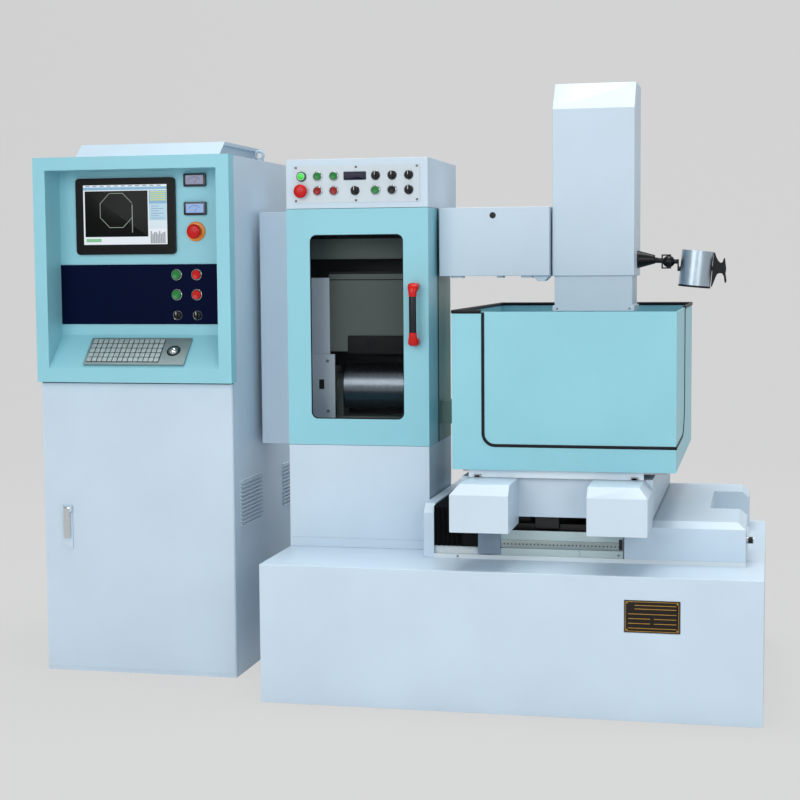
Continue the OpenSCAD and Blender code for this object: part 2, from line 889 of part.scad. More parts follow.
// Lower wire arm from the housing into the tank
module lower_arm() {
    top_z = lower_arm_z + lower_arm_h;
    color("silver") place() {
        block(drum_unit_w, wheel_x + fork_w, lower_arm_y, lower_arm_y + lower_arm_w,
            lower_arm_z, top_z);
        wheel_fork(lower_wheel_z, top_z);
    }
}

// Upper arm: hollow casting between flanges, with small fittings below
module upper_arm() {
    arm_y1 = arm_y + arm_d;
    color("lightsteelblue") place() {
        difference() {
            block(arm_x0, arm_x1, arm_y, arm_y1, arm_z0, arm_z1);
            block(arm_x0 + arm_wall, arm_x1 - arm_wall, arm_y + arm_wall, arm_y1 - arm_wall,
                arm_z0 + arm_wall, arm_z1 - arm_wall);
        }
        block(drum_unit_w, arm_x0 + cut, arm_flange_y, arm_flange_y + arm_flange_d,
            arm_z0 + arm_flange_inset, arm_z1 - arm_flange_inset);
        block(arm_x1 - cut, column_x, arm_flange_y, arm_flange_y + arm_flange_d,
            arm_z0 + arm_flange_inset, arm_z1 - arm_flange_inset);
        for (s = fitting_shares)
            block(arm_x0 + arm_len * s[0], arm_x0 + arm_len * (s[0] + s[1]), arm_y + arm_wall,
                arm_y + arm_wall + fitting_d, arm_z0 - fitting_h, arm_z0);
        along_y(arm_y + arm_wall, arm_y + arm_wall + guide_d) polygon([
            [arm_x0 + arm_len * guide_share, arm_z0],
            [arm_x0 + arm_len * guide_share + guide_h, arm_z0 - guide_h],
            [arm_x0 + arm_len * (guide_share + guide_w_share) - guide_h, arm_z0 - guide_h],
            [arm_x0 + arm_len * (guide_share + guide_w_share), arm_z0]
        ]);
    }
}

// Head column: sheet housing with a sloped crown, open below, round a cast spine
module z_column() {
    y1 = column_y + column_d;
    w = column_wall;
    slope_z = column_z1 - column_slope_h;
    spine_y = y1 - w - spine_t;
    color("lightsteelblue") place() {
        difference() {
            along_x(column_x, column_x + column_w) polygon([
                [column_y, column_z0], [column_y, slope_z], [column_y + column_slope_d, column_z1],
                [y1, column_z1], [y1, column_z0]
            ]);
            along_x(column_x + w, column_x + column_w - w) polygon([
                [column_y + w, column_z0 - cut], [column_y + w, slope_z - w],
                [column_y + column_slope_d + w, column_z1 - w], [y1 - w, column_z1 - w],
                [y1 - w, column_z0 - cut]
            ]);
        }
        block(column_x + w, column_x + column_w - w, spine_y, y1 - w + cut / 2,
            column_z0, slope_z - w);
    }
}

// Vertical ram with its end flange and the fork of the upper guide wheel
module z_ram() {
    x0 = column_x + column_wall + ram_clear;
    x1 = column_x + column_w - column_wall - ram_clear;
    y0 = column_y + column_wall + ram_clear;
    y1 = y0 + ram_d;
    z0 = column_z0 - ram_drop;
    spine_y = column_y + column_d - column_wall - spine_t;
    color("lightsteelblue") place() {
        difference() {
            block(x0, x1, y0, y1, z0, column_z0 + ram_inner_h);
            block(x0 + ram_wall, x1 - ram_wall, y0 + ram_wall, y1 - ram_wall, z0 + ram_wall,
                column_z0 + ram_inner_h + cut);
        }
        block((x0 + x1 - head_w) / 2, (x0 + x1 + head_w) / 2, y1 - cut, spine_y - gap,
            column_z0, column_z0 + ram_inner_h);
        block(x0 - flange_out, x1 + flange_out, y0, y1, z0 - flange_t, z0 + cut);
        wheel_fork(upper_wheel_z, z0 - flange_t);
    }
}

module upper_pulley() {
    color("white") guide_wheel(upper_wheel_z);
}

module lower_pulley() {
    color("white") guide_wheel(lower_wheel_z);
}

// Pedestal of the drum housing: box on a plinth, open below onto the bed
module drum_pedestal() {
    w = housing_wall;
    color("lightsteelblue") place() difference() {
        union() {
            block(0, drum_unit_w, drum_front, housing_y1, bed_h, door_z0);
            block(0, drum_unit_w + plinth_out, drum_front - plinth_out, housing_y1,
                bed_h, bed_h + plinth_h);
        }
        block(w, drum_unit_w - w, drum_front + w, housing_y1 - w, bed_h - cut, door_z0 - w);
    }
}

// Housing of the wire drum: open-fronted shell with the motor's cut-out and hinge pins
module drum_housing() {
    w = housing_wall;
    clear_r = motor_r + motor_clear;
    pin_y = housing_y0 + cover_clear;
    color("cadetblue") place() {
        difference() {
            block(0, drum_unit_w, housing_y0, housing_y1, door_z0, door_z1);
            block(w, drum_unit_w - w, housing_y0 - cut, housing_y1 - w, door_z0 + w, door_z1 - w);
            block(-cut, w + cut, shaft_y - clear_r, shaft_y + clear_r, shaft_z - clear_r,
                shaft_z + clear_r);
        }
        for (share = hinge_z_shares) {
            z = door_z0 + door_h * share;
            z_cylinder(-hinge_out, pin_y, z - hinge_l / 2, z - gap, hinge_r);
            z_cylinder(-hinge_out, pin_y, z - gap - cut, z + hinge_l / 2, hinge_pin_r);
            block(-hinge_out, cut, housing_y0, pin_y + hinge_r, z - hinge_l / 2, z - gap);
        }
    }
}

// Cover over the motor on the housing's left side, open towards the housing
module side_cover() {
    t = side_cover_wall;
    y0 = housing_y0 + side_cover_back;
    y1 = y0 + side_cover_d;
    z0 = door_z0 - side_cover_drop;
    z1 = door_z1 - side_cover_top;
    color("lightsteelblue") place() difference() {
        block(-side_cover_w, 0, y0, y1, z0, z1);
        block(t - side_cover_w, cut, y0 + t, y1 - t, z0 + t, z1 - t);
    }
}

// Bench in the housing: floor with two rails, front post, guide bar and back plate
module drum_bench() {
    floor_z = door_z0 + housing_wall;
    top_z = floor_z + drum_floor_t;
    front_y = housing_y0 + gap;
    bar_z = door_z0 + guide_bar_z;
    side_x = post_x + post_top_w;
    color("dimgray") place() {
        block(housing_wall, drum_unit_w - housing_wall, front_y, housing_y1 - housing_wall,
            floor_z, top_z);
        for (y = [shaft_y - bench_rail_out, shaft_y + bench_rail_out])
            block(bench_rail_x, drum_unit_w - bench_rail_x, y - rail_w / 2, y + rail_w / 2,
                top_z - cut, top_z + drum_rail_h);
        difference() {
            union() {
                block(post_x, post_x + post_w, front_y, front_y + post_t, top_z - cut,
                    top_z + post_h);
                block(post_x, side_x, front_y, front_y + post_t, top_z + post_h - cut,
                    top_z + post_h + post_top_h);
                block(side_x - cut, side_x + guide_bar_w, front_y, front_y + post_t, bar_z,
                    bar_z + guide_bar_h);
                block(side_x - cut, side_x + guide_bar_w, front_y, front_y + back_plate_t,
                    bar_z + guide_bar_h - cut, bar_z + guide_bar_h + back_plate_h);
            }
            y_cylinder(boss_x, front_y - cut, front_y + post_t + cut, bar_z + guide_bar_h / 2,
                hinge_pin_r);
        }
    }
}

// Travelling carriage of the wire drum: plate, two bearing brackets and the motor
module drum_carriage() {
    plate_z0 = door_z0 + housing_wall + drum_floor_t + drum_rail_h + gap;
    plate_z1 = plate_z0 + carriage_plate_t;
    left_x = drum_x - bracket_gap - bracket_w;
    right_x = drum_x + drum_len + bracket_gap;
    half_y = bench_rail_out + rail_w / 2;
    color("gray") place() difference() {
        union() {
            block(left_x, right_x + bracket_w, shaft_y - half_y, shaft_y + half_y,
                plate_z0, plate_z1);
            for (x = [left_x, right_x]) {
                block(x, x + bracket_w, shaft_y - bracket_r, shaft_y + bracket_r,
                    plate_z1 - cut, shaft_z);
                x_cylinder(x, x + bracket_w, shaft_y, shaft_z, bracket_r);
            }
            x_cylinder(left_x - motor_body_l, left_x + cut, shaft_y, shaft_z, motor_r);
        }
        x_cylinder(left_x - shaft_left - cut, right_x + bracket_w + cut, shaft_y, shaft_z,
            shaft_r + fit);
    }
}

// Wire drum with its shaft: thin shell between two drilled discs
module wire_drum() {
    x1 = drum_x + drum_len;
    left_x = drum_x - bracket_gap - bracket_w - shaft_left;
    color("silver") place() {
        difference() {
            x_cylinder(drum_x, x1, shaft_y, shaft_z, drum_r);
            x_cylinder(drum_x + drum_wall, x1 - drum_wall, shaft_y, shaft_z, drum_r - drum_wall);
            for (a = [0 : 90 : 270])
                x_cylinder(drum_x - cut, x1 + cut, shaft_y + disc_hole_out * cos(a),
                    shaft_z + disc_hole_out * sin(a), disc_hole_r);
        }
        x_cylinder(left_x, x1 + bracket_gap + bracket_w + shaft_right, shaft_y, shaft_z, shaft_r);
    }
}

// Door of the drum housing: folded sheet with a window and two hinge knuckles
module drum_door() {
    t = door_sheet;
    y1 = housing_y0 - gap;
    z0 = door_z0 + door_gap;
    z1 = door_z1 - door_gap;
    win_x = drum_unit_w * window_x_share;
    win_z = door_z0 + door_h * window_z_share;
    pin_y = housing_y0 + cover_clear;
    color("skyblue") place() {
        difference() {
            block(0, drum_unit_w, drum_front, y1, z0, z1);
            block(t, drum_unit_w - t, drum_front + t, y1 + cut, z0 + t, z1 - t);
            along_y(drum_front - cut, drum_front + t + cut)
                round_rect(win_x, win_x + drum_unit_w * window_w_share, win_z,
                    win_z + door_h * window_h_share, window_r);
        }
        for (share = hinge_z_shares) {
            z = door_z0 + door_h * share;
            difference() {
                union() {
                    z_cylinder(-hinge_out, pin_y, z, z + hinge_l / 2, hinge_r);
                    block(-hinge_out, t, pin_y - hinge_r, y1, z, z + hinge_l / 2);
                }
                z_cylinder(-hinge_out, pin_y, z - cut, z + hinge_l, hinge_pin_r + fit);
            }
        }
    }
}

// Glass pane that lies behind the door's sheet
module door_window() {
    win_x = drum_unit_w * window_x_share;
    win_z = door_z0 + door_h * window_z_share;
    y0 = drum_front + door_sheet;
    color("darkslategray") place()
        block(win_x - glass_lap, win_x + drum_unit_w * window_w_share + glass_lap, y0, y0 + glass_t,
            win_z - glass_lap, win_z + door_h * window_h_share + glass_lap);
}

// Bow handle on the door's front
module door_handle() {
    x = drum_unit_w * handle_x_share;
    z0 = door_z0 + door_h * handle_z_shares[0];
    z1 = door_z0 + door_h * handle_z_shares[1];
    bar_y = drum_front - handle_out;
    color("black") place() {
        block(x - handle_w / 2, x + handle_w / 2, bar_y, bar_y + handle_bar_t, z0, z1);
        for (z = [z0, z1 - handle_foot])
            block(x - handle_w / 2, x + handle_w / 2, bar_y + handle_bar_t - cut, drum_front,
                z, z + handle_foot);
    }
}

// Sheet box above the drum housing, with a cut-out behind its control panel
module control_box() {
    t = panel_t;
    x0 = drum_unit_w * panel_x_share + panel_rim;
    x1 = drum_unit_w * (panel_x_share + panel_w_share) - panel_rim;
    z0 = door_z1 + control_h * panel_z_share + panel_rim;
    z1 = door_z1 + control_h * (panel_z_share + panel_h_share) - panel_rim;
    color("lightsteelblue") place() difference() {
        block(0, drum_unit_w, drum_front, drum_front + control_d, door_z1, control_z1);
        block(t, drum_unit_w - t, drum_front + t, drum_front + control_d - t,
            door_z1 + t, control_z1 - t);
        block(x0, x1, drum_front - cut, drum_front + t + cut, z0, z1);
    }
}

// Panel of the control box with bezels, pilot lamp, display and screws
module control_panel() {
    x0 = drum_unit_w * panel_x_share;
    x1 = drum_unit_w * (panel_x_share + panel_w_share);
    z0 = door_z1 + control_h * panel_z_share;
    z1 = door_z1 + control_h * (panel_z_share + panel_h_share);
    holes = [
        [0, 0], [1, 0], [2, 0], [3, 0], [4, 0], [5, 0], [6, 0], [1, 1], [2, 1], [4, 1], [5, 1], [6, 1]
    ];
    bezels = [[1, 0], [2, 0], [4, 0], [5, 0], [1, 1], [2, 1]];
    display_z = panel_z(1);
    color("gainsboro") place() {
        difference() {
            union() {
                block(x0, x1, panel_front, drum_front, z0, z1);
                for (b = bezels)
                    y_cylinder(panel_x(b[0]), panel_front - bezel_out, panel_front + cut,
                        panel_z(b[1]), button_r + bezel_w);
            }
            for (b = bezels)
                y_cylinder(panel_x(b[0]), panel_front - bezel_out - cut, panel_front,
                    panel_z(b[1]), button_r + gap);
            for (h = holes)
                y_cylinder(panel_x(h[0]), panel_front - cut, drum_front + cut, panel_z(h[1]),
                    shank_hole_r);
        }
        for (x = [x0 + panel_rim, (x0 + x1) / 2, x1 - panel_rim],
            z = [z0 + panel_screw_in, z1 - panel_screw_in])
            y_cylinder(x, panel_front - screw_head_out, panel_front + cut, z, panel_screw_r);
    }
    color("limegreen") place()
        y_cylinder(panel_x(0), panel_front - button_out, panel_front, panel_z(1), button_r);
    color("black") place()
        block(panel_x(3) - display_w / 2, panel_x(3) + display_w / 2, panel_front - display_out,
            panel_front, display_z - display_h / 2, display_z + display_h / 2);
}

// Push button: cap that slides in its bezel, on a shank through the panel
module push_button(x, z, front, r) {
    place() {
        y_cylinder(x, front - button_out, front - travel - gap, z, r);
        y_cylinder(x, front - travel - gap - cut, front + shank_l, z, shank_r);
    }
}

// Mushroom button: wide cap, neck and shank
module mushroom_button(x, z, front, r, out) {
    place() {
        y_cylinder(x, front - out, front - out + cap_t, z, r);
        y_cylinder(x, front - out + cap_t - cut, front - travel - gap, z, button_r);
        y_cylinder(x, front - travel - gap - cut, front + shank_l, z, shank_r);
    }
}

// Rotary knob: round skirt with a grip bar, on a shank through the panel
module rotary_knob(x, z, front, r) {
    place() {
        y_cylinder(x, front - knob_out + grip_t - cut, front - gap, z, r);
        block(x - grip_w / 2, x + grip_w / 2, front - knob_out, front - knob_out + grip_t,
            z - r + gap, z + r - gap);
        y_cylinder(x, front - gap - cut, front + shank_l, z, shank_r);
    }
}

module stop_button() {
    color("red") mushroom_button(panel_x(0), panel_z(0), panel_front, mushroom_r, mushroom_out);
}

module drum_on_button() {
    color("green") push_button(panel_x(1), panel_z(1), panel_front, button_r);
}

module pump_on_button() {
    color("green") push_button(panel_x(2), panel_z(1), panel_front, button_r);
}

module drum_off_button() {
    color("red") push_button(panel_x(1), panel_z(0), panel_front, button_r);
}

module pump_off_button() {
    color("red") push_button(panel_x(2), panel_z(0), panel_front, button_r);
}

module mode_selector() {
    color("black") rotary_knob(panel_x(3), panel_z(0), panel_front, dial_r);
}

module pulse_on_button() {
    color("green") push_button(panel_x(4), panel_z(0), panel_front, button_r);
}

module reset_button() {
    color("black") push_button(panel_x(5), panel_z(0), panel_front, button_r);
}

module current_knob() {
    color("black") rotary_knob(panel_x(4), panel_z(1), panel_front, dial_r);
}

module width_knob() {
    color("black") rotary_knob(panel_x(5), panel_z(1), panel_front, dial_r);
}

module interval_knob() {
    color("black") rotary_knob(panel_x(6), panel_z(1), panel_front, dial_r);
}

module speed_knob() {
    color("black") rotary_knob(panel_x(6), panel_z(0), panel_front, dial_r);
}

// Lamp base: cone on the column, rod and a clevis with an upright pin
module lamp_base() {
    x0 = column_x + column_w;
    rod_x = x0 + cone_l;
    top = ball_r + gap;
    back_x = ball_x - ball_r - gap;
    color("black") place() {
        translate([x0, lamp_y, lamp_z]) rotate([0, 90, 0])
            cylinder(h = cone_l, r1 = cone_r1, r2 = cone_r2);
        x_cylinder(rod_x - cut, back_x - clevis_t + cut, lamp_y, ball_z, rod_r);
        block(back_x - clevis_t, back_x, lamp_y - clevis_w / 2, lamp_y + clevis_w / 2,
            ball_z - top - clevis_t, ball_z + top + clevis_t);
        for (z = [ball_z - top - clevis_t, ball_z + top])
            block(back_x - cut, ball_x + clevis_w / 2, lamp_y - clevis_w / 2,
                lamp_y + clevis_w / 2, z, z + clevis_t);
        z_cylinder(ball_x, lamp_y, ball_z - top - clevis_t, ball_z + top + clevis_t, pivot_r);
    }
}

// Lamp arm: ball on the pin, neck, yoke round the shade's back and wing knob
module lamp_arm() {
    left_x = shade_x - shade_r - yoke_gap;
    right_x = shade_x + shade_r + yoke_gap;
    back_y = lamp_y + yoke_reach;
    half = yoke_w / 2;
    color("black") place() {
        difference() {
            union() {
                translate([ball_x, lamp_y, ball_z]) sphere(r = ball_r);
                x_cylinder(ball_x + ball_r - yoke_t, left_x - yoke_t + cut, lamp_y, ball_z, neck_r);
            }
            z_cylinder(ball_x, lamp_y, ball_z - ball_r - cut, ball_z + ball_r + cut, pivot_r + fit);
        }
        block(left_x - yoke_t, left_x, lamp_y - half, lamp_y + half, shade_z - half,
            ball_z + neck_r);
        for (x = [left_x - yoke_t, right_x])
            block(x, x + yoke_t, lamp_y - half, back_y, shade_z - half, shade_z + half);
        block(left_x - yoke_t, right_x + yoke_t, back_y - yoke_t, back_y, shade_z - half,
            shade_z + half);
        x_cylinder(left_x - cut, shade_x - shade_r + shade_wall, lamp_y, shade_z, pivot_r);
        x_cylinder(shade_x + shade_r - shade_wall, right_x + yoke_t + wing_l, lamp_y, shade_z,
            pivot_r);
        block(right_x + yoke_t, right_x + yoke_t + wing_l, lamp_y - yoke_t / 2,
            lamp_y + yoke_t / 2, shade_z - wing_r, shade_z + wing_r);
    }
}

// Lamp shade: tube closed at the top, open below, with two pivot holes
module lamp_shade() {
    half = shade_h / 2;
    inner_top = half - shade_wall;
    color("silver") place() difference() {
        shade_place() {
            cylinder(h = shade_h, r = shade_r, center = true);
        }
        shade_place() translate([0, 0, -half - cut])
            cylinder(h = inner_top + half + cut, r = shade_r - shade_wall);
        x_cylinder(shade_x - shade_r - cut, shade_x + shade_r + cut, lamp_y, shade_z,
            pivot_r + fit);
    }
    color("ivory") place() shade_place() {
        translate([0, 0, inner_top - bulb_neck_l]) cylinder(h = bulb_neck_l, r = bulb_neck_r);
        translate([0, 0, inner_top - bulb_neck_l]) sphere(r = bulb_r);
    }
}

// Moves a piece to the middle of the shade, leaning with it
module shade_place() {
    translate([shade_x, lamp_y, shade_z]) rotate([0, shade_tilt, 0]) children();
}

// Cabinet: sheet body with a door opening, a recess opening, louvres and a cable gland
module cabinet_body() {
    t = cabinet_wall;
    gland_x = (cabinet_x0 + cabinet_x1) / 2;
    color("lightsteelblue") place() {
        difference() {
            union() {
                block(cabinet_x0, cabinet_x1, cabinet_y0, cabinet_y1, 0, cabinet_h);
                block(cabinet_x0, cabinet_x1, cabinet_front, cabinet_y0 + cut, 0, sill_h);
                y_cylinder(gland_x, cabinet_y1 - cut, cabinet_y1 + gland_l - t, gland_z, gland_r);
                for (start = louvre_starts, i = [0 : louvre_n - 1])
                    louvre_hood(cabinet_y0 + start, louvre_z + i * louvre_pitch);
            }
            block(cabinet_x0 + t, cabinet_x1 - t, cabinet_y0 + t, cabinet_y1 - t, t,
                cabinet_h - t);
            block(cabinet_x0 + jamb_w, cabinet_x1 - jamb_w, cabinet_y0 - cut, cabinet_y0 + t + cut,
                jamb_w, frame_z0 - jamb_w);
            block(recess_x0 - tub_wall, recess_x1 + tub_wall, cabinet_y0 - cut,
                cabinet_y0 + t + cut, recess_z0 - tub_wall, recess_z1 + tub_wall);
            y_cylinder(gland_x, cabinet_y1 - t - cut, cabinet_y1 + gland_l, gland_z, gland_bore_r);
            for (start = louvre_starts, i = [0 : louvre_n - 1])
                block(cabinet_x1 - t - cut, cabinet_x1 + louvre_out - louvre_skin,
                    cabinet_y0 + start + louvre_skin, cabinet_y0 + start + louvre_l - louvre_skin,
                    louvre_z + i * louvre_pitch - cut, louvre_z + i * louvre_pitch + louvre_slot);
        }
        z_cylinder(cabinet_hinge_x, cabinet_hinge_y, sill_h - cut, sill_h + pivot_pin_l + gap,
            pivot_pin_r);
    }
}

// Hood of one louvre on the cabinet's right side
module louvre_hood(y, z) {
    along_y(y, y + louvre_l) polygon([
        [cabinet_x1 - cut, z], [cabinet_x1 + louvre_out, z], [cabinet_x1, z + louvre_h],
        [cabinet_x1 - cut, z + louvre_h]
    ]);
}

// Cabinet door: folded pan with a round hinge edge and the latch's plate
module cabinet_door() {
    half = door_t / 2 - gap;
    y0 = cabinet_hinge_y - half;
    y1 = cabinet_hinge_y + half;
    z0 = sill_h + gap;
    plate_x = cabinet_x0 + latch_x;
    pin_y = y0 - latch_t - gap - lever_t / 2;
    color("lightsteelblue") place() difference() {
        union() {
            block(cabinet_x0, cabinet_hinge_x, y0, y1, z0, door_top_z);
            z_cylinder(cabinet_hinge_x, cabinet_hinge_y, z0, door_top_z, half);
        }
        block(cabinet_x0 + door_lip, cabinet_hinge_x - door_lip, y0 + door_skin, y1 + cut,
            z0 + door_lip, door_top_z - door_lip);
        z_cylinder(cabinet_hinge_x, cabinet_hinge_y, z0 - cut, z0 + pivot_pin_l + gap,
            pivot_pin_r + fit);
        z_cylinder(cabinet_hinge_x, cabinet_hinge_y, door_top_z - pivot_pin_l - gap,
            door_top_z + cut, pivot_pin_r + fit);
    }
    color("gainsboro") place() {
        block(plate_x, plate_x + latch_w, y0 - latch_t, y0, latch_z, latch_z + latch_h);
        for (x = [plate_x, plate_x + latch_w - ear_w])
            block(x, x + ear_w, y0 - latch_t - lever_t - gap, y0 - latch_t + cut,
                latch_z + latch_h - ear_h - gap, latch_z + latch_h);
        x_cylinder(plate_x + gap, plate_x + latch_w - gap, pin_y,
            latch_z + latch_h - lever_pin_in, lever_pin_r);
    }
}

// Lever of the door's latch, hung between the two ears of its plate
module door_latch() {
    y1 = cabinet_hinge_y - door_t / 2 + gap - latch_t - gap;
    x0 = cabinet_x0 + latch_x + ear_w + gap;
    x1 = cabinet_x0 + latch_x + latch_w - ear_w - gap;
    pin_z = latch_z + latch_h - lever_pin_in;
    pin_y = y1 - lever_t / 2;
    color("silver") place() difference() {
        union() {
            block(x0, x1, y1 - lever_t, y1, pin_z - lever_h, pin_z);
            x_cylinder(x0, x1, pin_y, pin_z, lever_t / 2);
        }
        x_cylinder(x0 - cut, x1 + cut, pin_y, pin_z, lever_pin_r + fit);
    }
}

// Console frame: folded front with a tub that holds the monitor, panel and keyboard
module console_frame() {
    t = tub_wall;
    x0 = cabinet_x0;
    x1 = cabinet_x1 + frame_over;
    hole_x = switch_x(0) - stop_ring_r;
    color("skyblue") place() {
        difference() {
            union() {
                difference() {
                    block(x0, x1, frame_y0, cabinet_y0, frame_z0, cabinet_h);
                    block(x0 + t, x1 - t, frame_y0 + t, cabinet_y0 + cut, frame_z0 + t,
                        cabinet_h - t);
                }
                block(recess_x0 - t, recess_x1 + t, frame_y0 + cut, recess_y1 + t,
                    recess_z0 - t, recess_z1 + t);
            }
            block(recess_x0, recess_x1, frame_y0 - cut, recess_y1, recess_z0, recess_z1);
            block(hole_x, recess_x1 - stop_ring_r, recess_y1 - cut, recess_y1 + t + cut,
                panel2_z + panel_rim, panel2_z + panel2_h - panel_rim);
            y_cylinder(recess_x0 + recess_w * stop_x_share, recess_y1 - cut, recess_y1 + t + cut,
                stop_z, shank_hole_r);
        }
        difference() {
            along_x(recess_x0 - cut, recess_x1 + cut) polygon([
                [frame_y0, recess_z0 - cut], [frame_y0, recess_z0],
                [recess_y1, recess_z0 + shelf_rise], [recess_y1 + cut, recess_z0 + shelf_rise],
                [recess_y1 + cut, recess_z0 - cut]
            ]);
            on_shelf() z_cylinder(track_x, track_y, -track_r - key_floor, cut, track_r + ball_gap);
        }
        z_cylinder(cabinet_hinge_x, cabinet_hinge_y, door_top_z - pivot_pin_l, frame_z0 + cut,
            pivot_pin_r);
    }
}

// Moves a piece onto the sloping shelf: Y runs up the slope, Z stands off it
module on_shelf() {
    translate([0, frame_y0, recess_z0]) rotate([shelf_angle, 0, 0]) children();
}

// Roof of the cabinet: cowl with set-back sides and two lifting eyes
module cabinet_roof() {
    x0 = cabinet_x0 + cowl_x0;
    x1 = x0 + cowl_w;
    y0 = cabinet_front + cowl_front;
    y1 = y0 + cowl_d;
    z1 = cabinet_h + cowl_h;
    slot_z = cabinet_h + cowl_slot;
    rise = cowl_slope * cowl_slot / cowl_h;
    color("skyblue") place() {
        difference() {
            union() {
                along_x(x0, x1) polygon([
                    [y0 + rise, slot_z], [y0 + cowl_slope, z1], [y1, z1], [y1, slot_z]
                ]);
                along_x(x0, x1) polygon([
                    [y0, cabinet_h], [y0 + cowl_slope, z1], [y0 + cowl_slope + tub_wall, z1],
                    [y0 + tub_wall, cabinet_h]
                ]);
                along_x(x0 + cowl_inset, x1 - cowl_inset) polygon([
                    [y0 + tub_wall, cabinet_h], [y0 + rise + tub_wall, slot_z + cut],
                    [y1 - cowl_inset, slot_z + cut], [y1 - cowl_inset, cabinet_h]
                ]);
            }
            block(x0 + cowl_slope, x1 - cowl_slope, y0 + cowl_slope, y1 - cowl_slope,
                cabinet_h - cut, z1 - tub_wall);
        }
    }
    color("silver") place() {
        lifting_eye(cabinet_x1 - eye_x, cabinet_y0 + cabinet_d * eye_shares[0]);
        lifting_eye(cabinet_x0 + eye_x, cabinet_y0 + cabinet_d * eye_shares[1]);
    }
}

// Lifting eye: collar and ring
module lifting_eye(x, y) {
    z_cylinder(x, y, cabinet_h, cabinet_h + eye_collar_h, eye_collar_r);
    translate([x, y, cabinet_h + eye_collar_h + eye_r]) rotate([90, 0, 0])
        rotate_extrude() translate([eye_r, 0]) circle(r = eye_rod_r);
}

// Flat monitor: bezel with round corners round a set-back screen
module monitor() {
    x0 = recess_x0 + recess_w * monitor_x_share;
    z0 = monitor_z;
    screen_x = x0 + monitor_w * screen_x_share;
    screen_z = z0 + monitor_h * screen_z_share;
    color("black") place() difference() {
        along_y(recess_y1 - monitor_t, recess_y1)
            round_rect(x0, x0 + monitor_w, z0, z0 + monitor_h, monitor_corner);
        block(screen_x, screen_x + monitor_w * screen_w_share, recess_y1 - monitor_t - cut,
            recess_y1 - monitor_t + display_out, screen_z, screen_z + monitor_h * screen_h_share);
    }
}

// Two panel meters and the ring of the emergency stop
module panel_meters() {
    x = recess_x0 + recess_w * meter_x_share;
    color("whitesmoke") place() for (share = meter_z_shares) {
        z = monitor_z + monitor_h * share;
        block(x - meter_w / 2, x + meter_w / 2, recess_y1 - meter_t, recess_y1,
            z - meter_h / 2, z + meter_h / 2);
    }
    color("orange") place() difference() {
        y_cylinder(x, recess_y1 - stop_ring_t, recess_y1, stop_z, stop_ring_r);
        y_cylinder(x, recess_y1 - stop_ring_t - cut, recess_y1 + cut, stop_z, shank_hole_r);
    }
}

// Switch panel across the recess, with bezels, keyhole and screws
module switch_panel() {
    cols = [0, 1];
    key_x = recess_x0 + recess_w * keyhole_x_share;
    key_z = panel2_z + panel2_h * keyhole_z_share;
    color("midnightblue") place() difference() {
        union() {
            block(recess_x0, recess_x1, switch_front, recess_y1, panel2_z, panel2_z + panel2_h);
            for (i = cols, j = [1, 2])
                y_cylinder(switch_x(i), switch_front - bezel_out, switch_front + cut, switch_z(j),
                    button2_r + bezel_w);
            y_cylinder(key_x, switch_front - display_out, switch_front + cut, key_z, shank_r);
            for (x = [recess_x0 + panel_rim, recess_x1 - panel_rim],
                z = [panel2_z + panel_screw_in, panel2_z + panel2_h - panel_screw_in])
                y_cylinder(x, switch_front - screw_head_out, switch_front + cut, z, panel_screw_r);
        }
        for (i = cols, j = [1, 2])
            y_cylinder(switch_x(i), switch_front - bezel_out - cut, switch_front, switch_z(j),
                button2_r + gap);
        for (i = cols, j = [0, 1, 2])
            y_cylinder(switch_x(i), switch_front - cut, recess_y1 + cut, switch_z(j),
                shank_hole_r);
    }
}

// Keyboard case with a pocket for the keys and a round seat for the trackball
module keyboard() {
    x0 = keyboard_x;
    color("gray") place() on_shelf() difference() {
        translate([x0, keyboard_start, 0]) cube([keyboard_w, keyboard_l, keyboard_t]);
        translate([x0 + key_pad - gap, keyboard_start + key_pad - gap, key_floor])
            cube([key_area_w + 2 * gap, key_area_l + 2 * gap, keyboard_t]);
        z_cylinder(track_x, track_y, -cut, keyboard_t + cut, track_r + ball_gap);
    }
}

// Keys on one common carrier in the keyboard's pocket
module keyboard_keys() {
    z0 = key_floor + key_travel + gap;
    pitch_x = key_area_w / key_cols;
    pitch_y = key_area_l / key_rows;
    color("ivory") place() on_shelf()
        translate([keyboard_x + key_pad, keyboard_start + key_pad, z0]) {
            cube([key_area_w, key_area_l, key_base_t]);
            for (i = [0 : key_cols - 1], j = [0 : key_rows - 1])
                translate([i * pitch_x + key_gap / 2, j * pitch_y + key_gap / 2, 0])
                    cube([pitch_x - key_gap, pitch_y - key_gap, keyboard_t + key_lift - z0]);
        }
}

module trackball() {
    color("black") place() on_shelf()
        translate([track_x, track_y, keyboard_t - ball_sink]) sphere(r = track_r);
}

// Power units on three shelves in the cabinet
module power_rack() {
    t = cabinet_wall;
    inner_w = cabinet_w - 2 * t;
    inner_d = cabinet_d - rack_setback - t;
    y0 = cabinet_y0 + rack_setback;
    color("dimgray") place() for (i = [0 : 2]) {
        z = cabinet_h * shelf_shares[i];
        share = unit_size_shares[i];
        unit_w = inner_w * share[0];
        unit_d = inner_d * share[1];
        block(cabinet_x0 + t, cabinet_x1 - t, y0, cabinet_y1 - t, z, z + shelf_t);
        block((cabinet_x0 + cabinet_x1 - unit_w) / 2, (cabinet_x0 + cabinet_x1 + unit_w) / 2,
            y0 + rack_inset, y0 + rack_inset + unit_d, z + shelf_t - cut,
            z + shelf_t + cabinet_h * share[2]);
    }
}

module cabinet_stop_button() {
    color("red") mushroom_button(recess_x0 + recess_w * stop_x_share, stop_z,
        recess_y1 - stop_ring_t, stop_r, stop_out - stop_ring_t);
}

module main_on_button() {
    color("green") push_button(switch_x(0), switch_z(2), switch_front, button2_r);
}

module main_off_button() {
    color("red") push_button(switch_x(1), switch_z(2), switch_front, button2_r);
}

